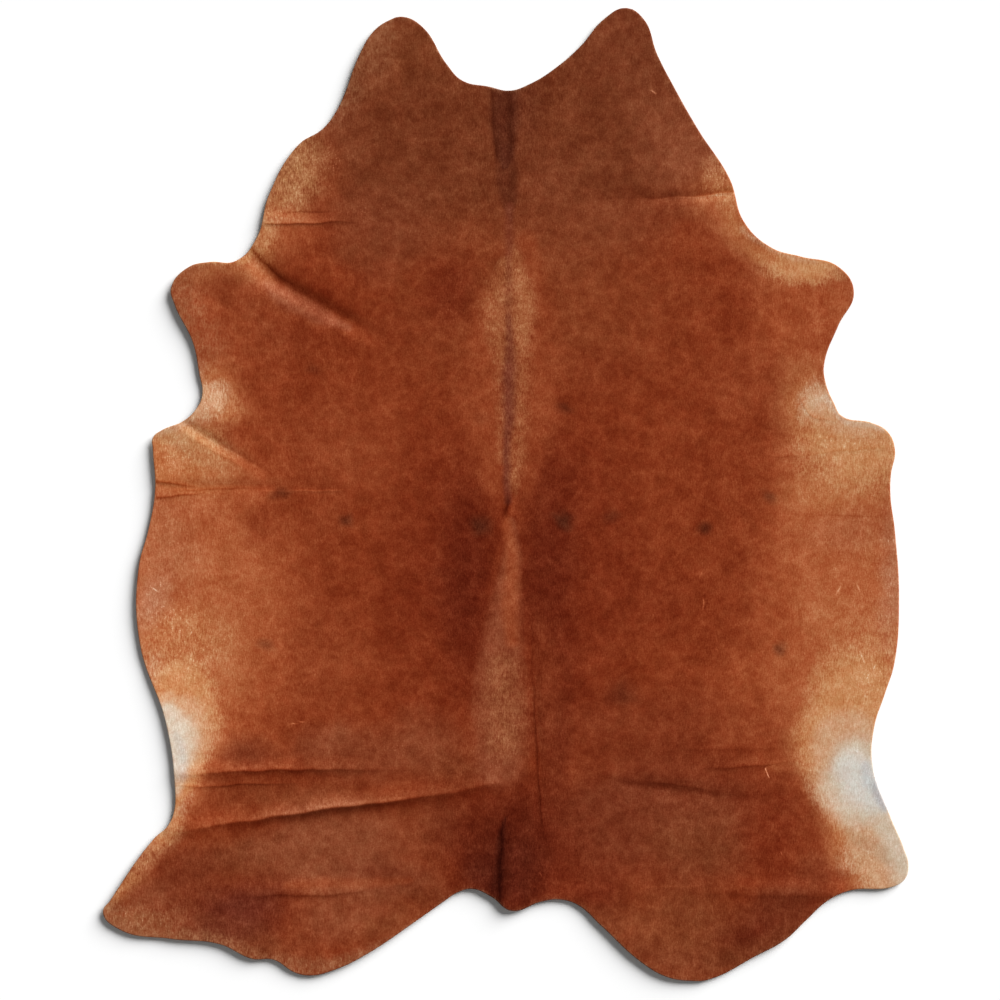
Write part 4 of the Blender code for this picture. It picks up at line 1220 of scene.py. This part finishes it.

# %% [markdown]
# The colours, the share of pale hair, and the painted shade and light of the fine lines with the scars'
# paler hair are stored on the mesh's points, where the finish reads them. One more thing is stored: where
# single pale hairs are sprinkled through the coat. Each row is a place, two half sizes and an amount.

# %% Store them on the sheet
FLECKS = [
    (-0.303, 0.654, 0.045, 0.041, 1), (-0.389, 0.758, 0.036, 0.036, 0.9),
    (-0.167, 0.656, 0.036, 0.027, 0.5), (0.134, 0.604, 0.032, 0.023, 0.5),
    (-0.063, 0.595, 0.023, 0.018, 0.4), (-0.271, -0.574, 0.054, 0.027, 0.7),
    (-0.172, -0.629, 0.050, 0.023, 0.5), (-0.013, -0.615, 0.054, 0.018, 0.6),
    (-0.122, 0.400, 0.045, 0.032, 0.4), (0.293, 0.656, 0.068, 0.032, 0.35),
    (-0.756, -0.284, 0.077, 0.091, 0.7), (-0.783, -0.216, 0.045, 0.036, 0.6),
    (0.821, -0.402, 0.054, 0.091, 0.8), (0.780, 0.123, 0.100, 0.041, 0.8),
    (0.859, -0.148, 0.036, 0.136, 0.5), (-0.743, 0.089, 0.068, 0.045, 0.6),
    (-0.666, 0.225, 0.045, 0.059, 0.6), (0.701, 0.214, 0.054, 0.059, 0.7),
    (-0.715, -0.375, 0.091, 0.091, 0.5), (-0.817, -0.953, 0.077, 0.032, 0.8),
    (0.825, -0.828, 0.068, 0.068, 0.5), (0.123, -0.896, 0.023, 0.018, 0.5),
    (0.474, 0.701, 0.045, 0.045, 0.5), (-0.376, -0.545, 0.036, 0.018, 0.5),
    (-0.534, -0.497, 0.018, 0.014, 0.6),
]
FLECK_SWELL = 1.3  # the flecks thin out to nothing this many half sizes from the middle


def fleck_amount(x, y):
    """How many pale hairs are sprinkled at each place, 0 to 1."""
    amount = np.zeros(len(x))
    for middle_x, middle_y, half_x, half_y, most in FLECKS:
        away = np.hypot((x - middle_x) / half_x, (y - middle_y) / half_y)
        amount = np.maximum(amount, most * swell(away, FLECK_SWELL))
    return amount


for name, colours in (("coat", brown), ("pale_coat", pale)):
    layer = mesh.color_attributes.new(name, "FLOAT_COLOR", "POINT")
    layer.data.foreach_set("color", np.column_stack([colours, np.ones(len(colours))]).ravel())
# Painted shade and light of the creases, and the paler hair of the scars and spots, for each point.
shade = sum(mark_shade(mark, flat_x, flat_y) for mark in MARKS)
amounts = {"pale_share": pale_share, "lines": shade, "flecks": fleck_amount(bent_x, bent_y)}
for name, values in amounts.items():
    layer = mesh.attributes.new(name, "FLOAT", "POINT")
    layer.data.foreach_set("value", values)
    print(f"{name} from {values.min():.2f} to {values.max():.2f}")

# %% [markdown]
# ## Writing a finish as a sum
#
# A material in Blender is a net of nodes. Sums read better than nets, so one small class stands for a
# socket, and plus, minus and times add the Math nodes. A Math node turns a colour grey, so colours are
# mixed by a method of their own.

# %% A socket that can be reckoned with


class Wire:
    """One output of a node. Sums with it add their nodes to its tree."""

    def __init__(self, tree, socket=None):
        self.tree = tree
        self.socket = socket

    def node(self, kind, settings=None, inputs=None, output=0):
        """Adds a node: its settings first, then its sockets' values or links. Gives one of its outputs."""
        made = self.tree.nodes.new(kind)
        for name, value in (settings or {}).items():
            setattr(made, name, value)
        for name, value in (inputs or {}).items():
            if isinstance(value, Wire):
                self.tree.links.new(value.socket, made.inputs[name])
            else:
                made.inputs[name].default_value = value
        return Wire(self.tree, made.outputs[output])

    def _math(self, operation, first, second=0.0):
        return self.node("ShaderNodeMath", {"operation": operation}, {0: first, 1: second})

    def __add__(self, other):
        return self._math("ADD", self, other)

    __radd__ = __add__

    def __sub__(self, other):
        return self._math("SUBTRACT", self, other)

    def __rsub__(self, other):
        return self._math("SUBTRACT", other, self)

    def __mul__(self, other):
        return self._math("MULTIPLY", self, other)

    __rmul__ = __mul__

    def __abs__(self):
        return self._math("ABSOLUTE", self)

    def ramp(self, low, high):
        """0 at low, 1 at high, smooth between. It runs backwards when low is above high."""
        return self.node("ShaderNodeMapRange", {"interpolation_type": "SMOOTHSTEP"},
                         {"Value": self, "From Min": low, "From Max": high})

    def mix(self, factor, first, second, how="MIX"):
        """A colour: the first, changed by the second as far as the factor says."""
        return self.node("ShaderNodeMix", {"data_type": "RGBA", "blend_type": how},
                         {0: factor, 6: first, 7: second}, output=2)

    def scaled(self, scale, turn=0.0):
        """A place, turned about Z and stretched."""
        return self.node("ShaderNodeMapping", {"vector_type": "POINT"},
                         {"Vector": self, "Rotation": (0, 0, turn), "Scale": scale})

    def cloud(self, size, detail=2.0, rough=0.5, distortion=0.0):
        """Noise from 0 to 1 at this place, with features of about this size in metres."""
        return self.node("ShaderNodeTexNoise", {"noise_dimensions": "3D"},
                         {"Vector": self, "Scale": 1 / size, "Detail": detail, "Roughness": rough,
                          "Distortion": distortion})


print("besides sums, a socket has", ", ".join(name for name in vars(Wire) if not name.startswith("_")))

# %% [markdown]
# Every finish starts alike: a new material with its shader, a roughness and a shine. Three short helpers
# save writing that out each time.

# %% The start of a finish


def finish(name, roughness, shine):
    """A new material. Gives it, the start of its expressions and its shader."""
    material = bpy.data.materials.new(name)
    material.use_nodes = True
    shader = material.node_tree.nodes["Principled BSDF"]
    shader.inputs["Roughness"].default_value = roughness
    shader.inputs["Specular IOR Level"].default_value = shine
    return material, Wire(material.node_tree), shader


def feed(shader, name, wire):
    """Links an expression to one of the shader's sockets."""
    wire.tree.links.new(wire.socket, shader.inputs[name])


def relief_of(wire, height, strength, depth):
    """A bump that tilts the light on the surface as this height would."""
    return wire.node("ShaderNodeBump", inputs={"Strength": strength, "Distance": depth, "Height": height})


# %% [markdown]
# ## The coat
#
# Cattle hair is short, dense and close-lying. Separate strands would be the true way to make it, but there
# are millions of them and each is thinner than a pixel. Three things make a flat surface look like hair and
# not like paint: clouds of lighter and darker hair a few centimetres wide with pale veins between them,
# locks a few millimetres wide that lie along the animal, and single hairs. The clouds and veins come first.

# %% Clouds and veins in the coat
CLOUD_SIZE, WISP_SIZE, SPECK_SIZE = 0.060, 0.014, 0.0035
VEIN_SCALE = 22  # veins in a metre, about
VEIN_WIDTH = 0.30
PUSH_SCALE = 18  # the veins are pushed about by noise this fine
WANDER = (0.05, 0.05, 0.0)  # and this far, in metres

coat_finish, start, shader = finish("russet_coat", roughness=0.62, shine=0.02)
place = start.node("ShaderNodeTexCoord", output="Object")
clouds = place.cloud(CLOUD_SIZE, detail=6, rough=0.62, distortion=0.3)
wisps = place.cloud(WISP_SIZE, detail=4, rough=0.65)
speckle = place.cloud(SPECK_SIZE, detail=2, rough=0.7)
push = place.node("ShaderNodeTexNoise", inputs={"Vector": place, "Scale": PUSH_SCALE, "Detail": 3},
                  output="Color")
wander = place.node("ShaderNodeVectorMath", {"operation": "MULTIPLY_ADD"}, {0: push, 1: WANDER, 2: place})
cells = wander.node("ShaderNodeTexVoronoi", {"feature": "DISTANCE_TO_EDGE", "voronoi_dimensions": "2D"},
                    {"Vector": wander, "Scale": VEIN_SCALE})
veins = cells.ramp(VEIN_WIDTH, 0.0)
print(len(coat_finish.node_tree.nodes), "nodes in the coat's finish")

# %% [markdown]
# Hair lies back along the spine, and outwards as well as back over the sides. Noise that is stretched far
# along one way looks like locks that lie that way. Turning the stretch from point to point would smear it,
# so three fixed directions are made, and blended from left to right across the hide.

# %% Locks and single hairs
SPREAD = math.radians(38)  # how far the hair turns outwards on the sides
PARTING = 0.05  # the hair lies straight back as far as this from the spine
SIDE = 0.45  # and fully outwards from here

west = place.node("ShaderNodeSeparateXYZ", inputs={"Vector": place}, output=0)
to_left, to_right = west.ramp(-PARTING, -SIDE), west.ramp(PARTING, SIDE)


def hairs(width, length):
    """Noise stretched along the hair's lie."""
    stretch = (1 / width, 1 / length, 1 / width)
    back = place.scaled(stretch).cloud(1.0, detail=2, rough=0.6)
    left = place.scaled(stretch, SPREAD).cloud(1.0, detail=2, rough=0.6)
    right = place.scaled(stretch, -SPREAD).cloud(1.0, detail=2, rough=0.6)
    middle = 1 - to_left - to_right
    return back * middle + left * to_left + right * to_right


locks = hairs(width=0.0030, length=0.012)
strands = hairs(width=0.0010, length=0.009)
print(len(coat_finish.node_tree.nodes), "nodes with the locks and hairs")

# %% [markdown]
# Now the stored colours are read back. Where brown and pale hair meet, the share is made ragged by the
# locks, so that the border breaks up into hair. It must stay still where all hair is brown or all is pale,
# and the product of the share and its rest is nothing at both of those ends.

# %% Brown and pale hair
RAGGED = 3.5
PALE_FROM, PALE_TO = 0.07, 0.20  # from the one brightness to the other, a tone counts more and more as pale

brown = start.node("ShaderNodeVertexColor", {"layer_name": "coat"})
pale = start.node("ShaderNodeVertexColor", {"layer_name": "pale_coat"})
pale_share = start.node("ShaderNodeAttribute", {"attribute_name": "pale_share"}, output=2)
ragged = (locks + strands + wisps - 1.5) * pale_share * (1 - pale_share) * RAGGED
ground = start.mix(pale_share + ragged, brown, pale)
paleness = start.node("ShaderNodeRGBToBW", inputs={"Color": ground}).ramp(PALE_FROM, PALE_TO)
# Painted shade and light of the creases, and the scars' paler hair, read back from the points.
line_shade = start.node("ShaderNodeAttribute", {"attribute_name": "lines"}, output=2)
fleck_share = start.node("ShaderNodeAttribute", {"attribute_name": "flecks"}, output=2)
print(len(coat_finish.node_tree.nodes), "nodes with the stored colours")

# %% [markdown]
# Thick hair looks deeper in colour and thin hair paler, and not just darker and lighter. Raising a colour
# to a power does this: it changes the strong channel least. So the clouds, the grain of the hair, the
# flecks and the fine lines, whose shade and light are painted, all go into one power, and partly into plain
# brightness as well.

# %% Depth of the colour
FLECK_FROM, FLECK_TO, FLECK_LIFT = 0.56, 0.68, 0.30
LINE_LEAST, LINE_RAGGED = 0.3, 0.7  # a line's least shade, and how much the clouds and wisps add to it
THIN_POWER, THIN_POWER_PALE = 0.8, 0.4  # how much blotches change the power, and how much more in pale hair
GRAIN_POWER, GRAIN_PALE = 1.15, 0.5  # the grain shows more in pale hair
THIN_LIGHT, GRAIN_LIGHT = 0.95, 0.3


def varied(wire, by, middle=0.5):
    """A change of half this much or less each way from the middle."""
    return (wire - middle) * by


blotches = varied(clouds, by=0.46) + varied(wisps, by=0.26) + varied(veins, by=0.055, middle=0.45)
grain = varied(speckle, by=0.28) + varied(locks, by=0.32) + varied(strands, by=0.38)
grain = grain * (1 + paleness * GRAIN_PALE)
pale_hairs = (speckle * 0.5 + locks * 0.5).ramp(FLECK_FROM, FLECK_TO) * fleck_share
shaded = line_shade * (LINE_LEAST + clouds * LINE_RAGGED + wisps * LINE_RAGGED)
thin = blotches + pale_hairs * FLECK_LIFT - shaded
power = 1 - thin * (THIN_POWER + paleness * THIN_POWER_PALE) - grain * GRAIN_POWER
haired = start.node("ShaderNodeGamma", inputs={"Color": ground, "Gamma": power})
brighter = 1 + thin * (1 - paleness) * THIN_LIGHT + grain * GRAIN_LIGHT
print(len(coat_finish.node_tree.nodes), "nodes with the depth of the colour")

# %% [markdown]
# Last, single tufts lean a little towards red or towards yellow, as no coat has one even tone. The relief
# is low, since the hair lies flat, and the sheen is soft.

# %% Lean of the tufts, sheen and relief
REDDER, YELLOWER = (1.01, 0.955, 0.95, 1), (0.99, 1.045, 1.05, 1)
TUFT_SIZE = 0.028
ALL_REDDER, ALL_YELLOWER = 0.35, 0.65  # the noise runs from the one to the other between these values
ROUGH_BETWEEN, ROUGH_ON_LOCKS = 0.60, 0.14
LOCK_HEIGHT, HAIR_HEIGHT, CLOUD_HEIGHT = 0.6, 0.4, 0.6

lean = place.cloud(TUFT_SIZE, detail=7, rough=0.8).ramp(ALL_REDDER, ALL_YELLOWER)
lean = start.mix(lean, REDDER, YELLOWER)
haired = start.mix(1.0, haired, lean, "MULTIPLY")
haired = start.node("ShaderNodeVectorMath", {"operation": "SCALE"}, {0: haired, "Scale": brighter})
feed(shader, "Base Color", haired)
feed(shader, "Roughness", ROUGH_BETWEEN + locks * ROUGH_ON_LOCKS)
height = locks * LOCK_HEIGHT + strands * HAIR_HEIGHT + clouds * CLOUD_HEIGHT
feed(shader, "Normal", relief_of(start, height, strength=0.2, depth=0.0008))
print(len(coat_finish.node_tree.nodes), "nodes in the finished coat")

# %% [markdown]
# ## The leather
#
# The knife leaves a pale, slightly fuzzy cut. A plain colour would do for a rim this thin, but fibres that
# run along it catch the light in a view from the side. They are noise that is squeezed in height.

# %% The knife's cut
CUT_DARK, CUT_PALE = (0.36, 0.22, 0.13, 1), (0.62, 0.45, 0.30, 1)
FIBRES = (500, 500, 2500)  # in a metre, along x, y and z

cut_finish, start, shader = finish("cut_leather", roughness=0.85, shine=0.2)
place = start.node("ShaderNodeTexCoord", output="Object")
fibres = place.scaled(FIBRES).cloud(1.0, detail=3, rough=0.7)
feed(shader, "Base Color", start.mix(fibres, CUT_DARK, CUT_PALE))
feed(shader, "Normal", relief_of(start, fibres, strength=0.5, depth=0.0004))
print(len(cut_finish.node_tree.nodes), "nodes in the cut leather")

# %% [markdown]
# The underside is the flesh side, buffed to a suede: warm grey-beige, with a fine nap, cloudy stains of
# tanning and a few broad marks where the veins ran. It is only seen when a corner is turned up, so noise is
# enough for it. A vein is a place where slow noise passes through its middle value, which makes long thin
# winding lines.

# %% The flesh side
SUEDE_DARK, SUEDE_PALE = (0.47, 0.36, 0.26, 1), (0.62, 0.51, 0.39, 1)
VEIN_TONE, NAP_TONE = (0.34, 0.25, 0.18, 1), (0.72, 0.62, 0.50, 1)
STAIN_SIZE, NAP_SIZE, VEIN_BEND = 0.16, 0.0035, 0.22
VEIN_SHARPNESS = 9
VEIN_SHARE, NAP_SHARE = 0.25, 0.35

flesh_finish, start, shader = finish("suede_flesh_side", roughness=0.9, shine=0.15)
place = start.node("ShaderNodeTexCoord", output="Object")
stains = place.cloud(STAIN_SIZE, detail=5, rough=0.55, distortion=0.8)
nap = place.cloud(NAP_SIZE, detail=4, rough=0.75)
vein_marks = 1 - abs(place.cloud(VEIN_BEND, distortion=2.0) * 2 - 1) * VEIN_SHARPNESS
suede = start.mix(stains.ramp(0.3, 0.7), SUEDE_DARK, SUEDE_PALE)
suede = start.mix(vein_marks.ramp(0.0, 1.0) * VEIN_SHARE, suede, VEIN_TONE)
suede = start.mix((nap - 0.5).ramp(-0.3, 0.3) * NAP_SHARE, suede, NAP_TONE)
feed(shader, "Base Color", suede)
feed(shader, "Normal", relief_of(start, nap + stains * 0.5, strength=0.5, depth=0.0008))
for material in (flesh_finish, cut_finish, coat_finish):
    mesh.materials.append(material)
print("finishes:", [material.name for material in mesh.materials])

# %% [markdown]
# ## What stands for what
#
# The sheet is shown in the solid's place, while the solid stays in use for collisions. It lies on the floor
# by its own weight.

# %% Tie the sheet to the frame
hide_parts("hide")
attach(sheet, "root")
print("the sheet replaces the solid, and measures", [round(side, 3) for side in sheet.dimensions])

# %% [markdown]
# ## Floor and light
#
# The hide lies on a plain white floor that runs on to the horizon. A small floor would end in an edge when
# it is seen from a low angle. This one is so wide that its far end is lost in the white of the sky.

# %% The floor
FLOOR_WHITE = 0.90
FLOOR_SIZE = 120.0

half = FLOOR_SIZE / 2
corners = [(-half, -half, 0), (half, -half, 0), (half, half, 0), (-half, half, 0)]
floor_mesh = bpy.data.meshes.new("floor")
floor_mesh.from_pydata(corners, [], [(0, 1, 2, 3)])
floor = placed("floor", floor_mesh)
floor_finish, start, shader = finish("white_floor", roughness=1.0, shine=0.0)
shader.inputs["Base Color"].default_value = (FLOOR_WHITE, FLOOR_WHITE, FLOOR_WHITE, 1)
floor_mesh.materials.append(floor_finish)
floor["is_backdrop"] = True
print(f"floor {FLOOR_SIZE:.0f} m wide, which reflects {FLOOR_WHITE:.2f} of the light")

# %% [markdown]
# One broad light from the upper right gives most of the light. It stands low enough to show the folds, and
# is wide enough to leave a soft narrow shadow at the left and lower edges. A sun lamp is used and not an
# area lamp, because its light is as strong at one end of the hide as at the other. Its strength is worked
# out so that the floor comes out white.

# %% The key light
KEY_SHARE = 0.85  # of the light that falls on the floor
KEY_HEIGHT = math.radians(26)
KEY_SIDE = math.radians(45)
KEY_WIDTH = math.radians(40)
OVER_WHITE = 1.02  # a little more than white, so that the floor stays clean

key = bpy.data.lights.new("key", "SUN")
key.energy = math.pi * KEY_SHARE / FLOOR_WHITE / math.sin(KEY_HEIGHT) * OVER_WHITE
key.angle = KEY_WIDTH
key_object = placed("key", key)
toward = Vector((math.cos(KEY_HEIGHT) * math.sin(KEY_SIDE), math.cos(KEY_HEIGHT) * math.cos(KEY_SIDE),
                 math.sin(KEY_HEIGHT)))
key_object.rotation_mode = "QUATERNION"
key_object.rotation_quaternion = toward.to_track_quat("Z", "Y")
print(f"key light {key.energy:.2f}")

# %% [markdown]
# The sky fills the rest, so that the shadows are not black. The camera alone sees it as white as the floor,
# and no horizon shows from a low angle.

# %% The sky
world = bpy.context.scene.world or bpy.data.worlds.new("sky")
bpy.context.scene.world = world
world.use_nodes = True
sky = world.node_tree.nodes["Background"]
start = Wire(world.node_tree)
seen = start.node("ShaderNodeLightPath", output="Is Camera Ray")
fill = (1 - KEY_SHARE) / FLOOR_WHITE
world.node_tree.links.new((fill + seen * (1.0 - fill)).socket, sky.inputs["Strength"])
sky.inputs["Color"].default_value = (1, 1, 1, 1)
bpy.context.scene.view_settings.view_transform = "Standard"
print(f"fill {fill:.2f}")

# %% [markdown]
# ## The camera
#
# The camera hangs straight above the hide, neck upwards. A short lens held close would swell the middle and
# lean the edges outwards, so a long lens is used from farther away, which keeps the outline true.

# %% Camera
VIEW_WIDTH = 2.2657  # of the floor, from one side of the view to the other
VIEW_MIDDLE = (-0.0130, -0.0125)
LENS = 85.0
SENSOR = 36.0
SIGHT = 200.0  # how far the camera sees

camera = bpy.data.cameras.new("camera")
camera.lens = LENS
camera.sensor_width = SENSOR
camera.clip_end = SIGHT
camera_object = placed("camera", camera)
camera_object.location = (*VIEW_MIDDLE, VIEW_WIDTH * LENS / SENSOR)
bpy.context.scene.camera = camera_object
print(f"camera {camera_object.location.z:.2f} m above the floor")

# %% [markdown]
# ## Sizes
#
# Last, the finished sheet's box is set against the solid's, and how much it has grown is printed.

seen_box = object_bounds()
growth = (seen_box[1] - seen_box[0]) - (cad_box[1] - cad_box[0])
print("grown by", [round(1000 * side, 1) for side in growth], "mm")
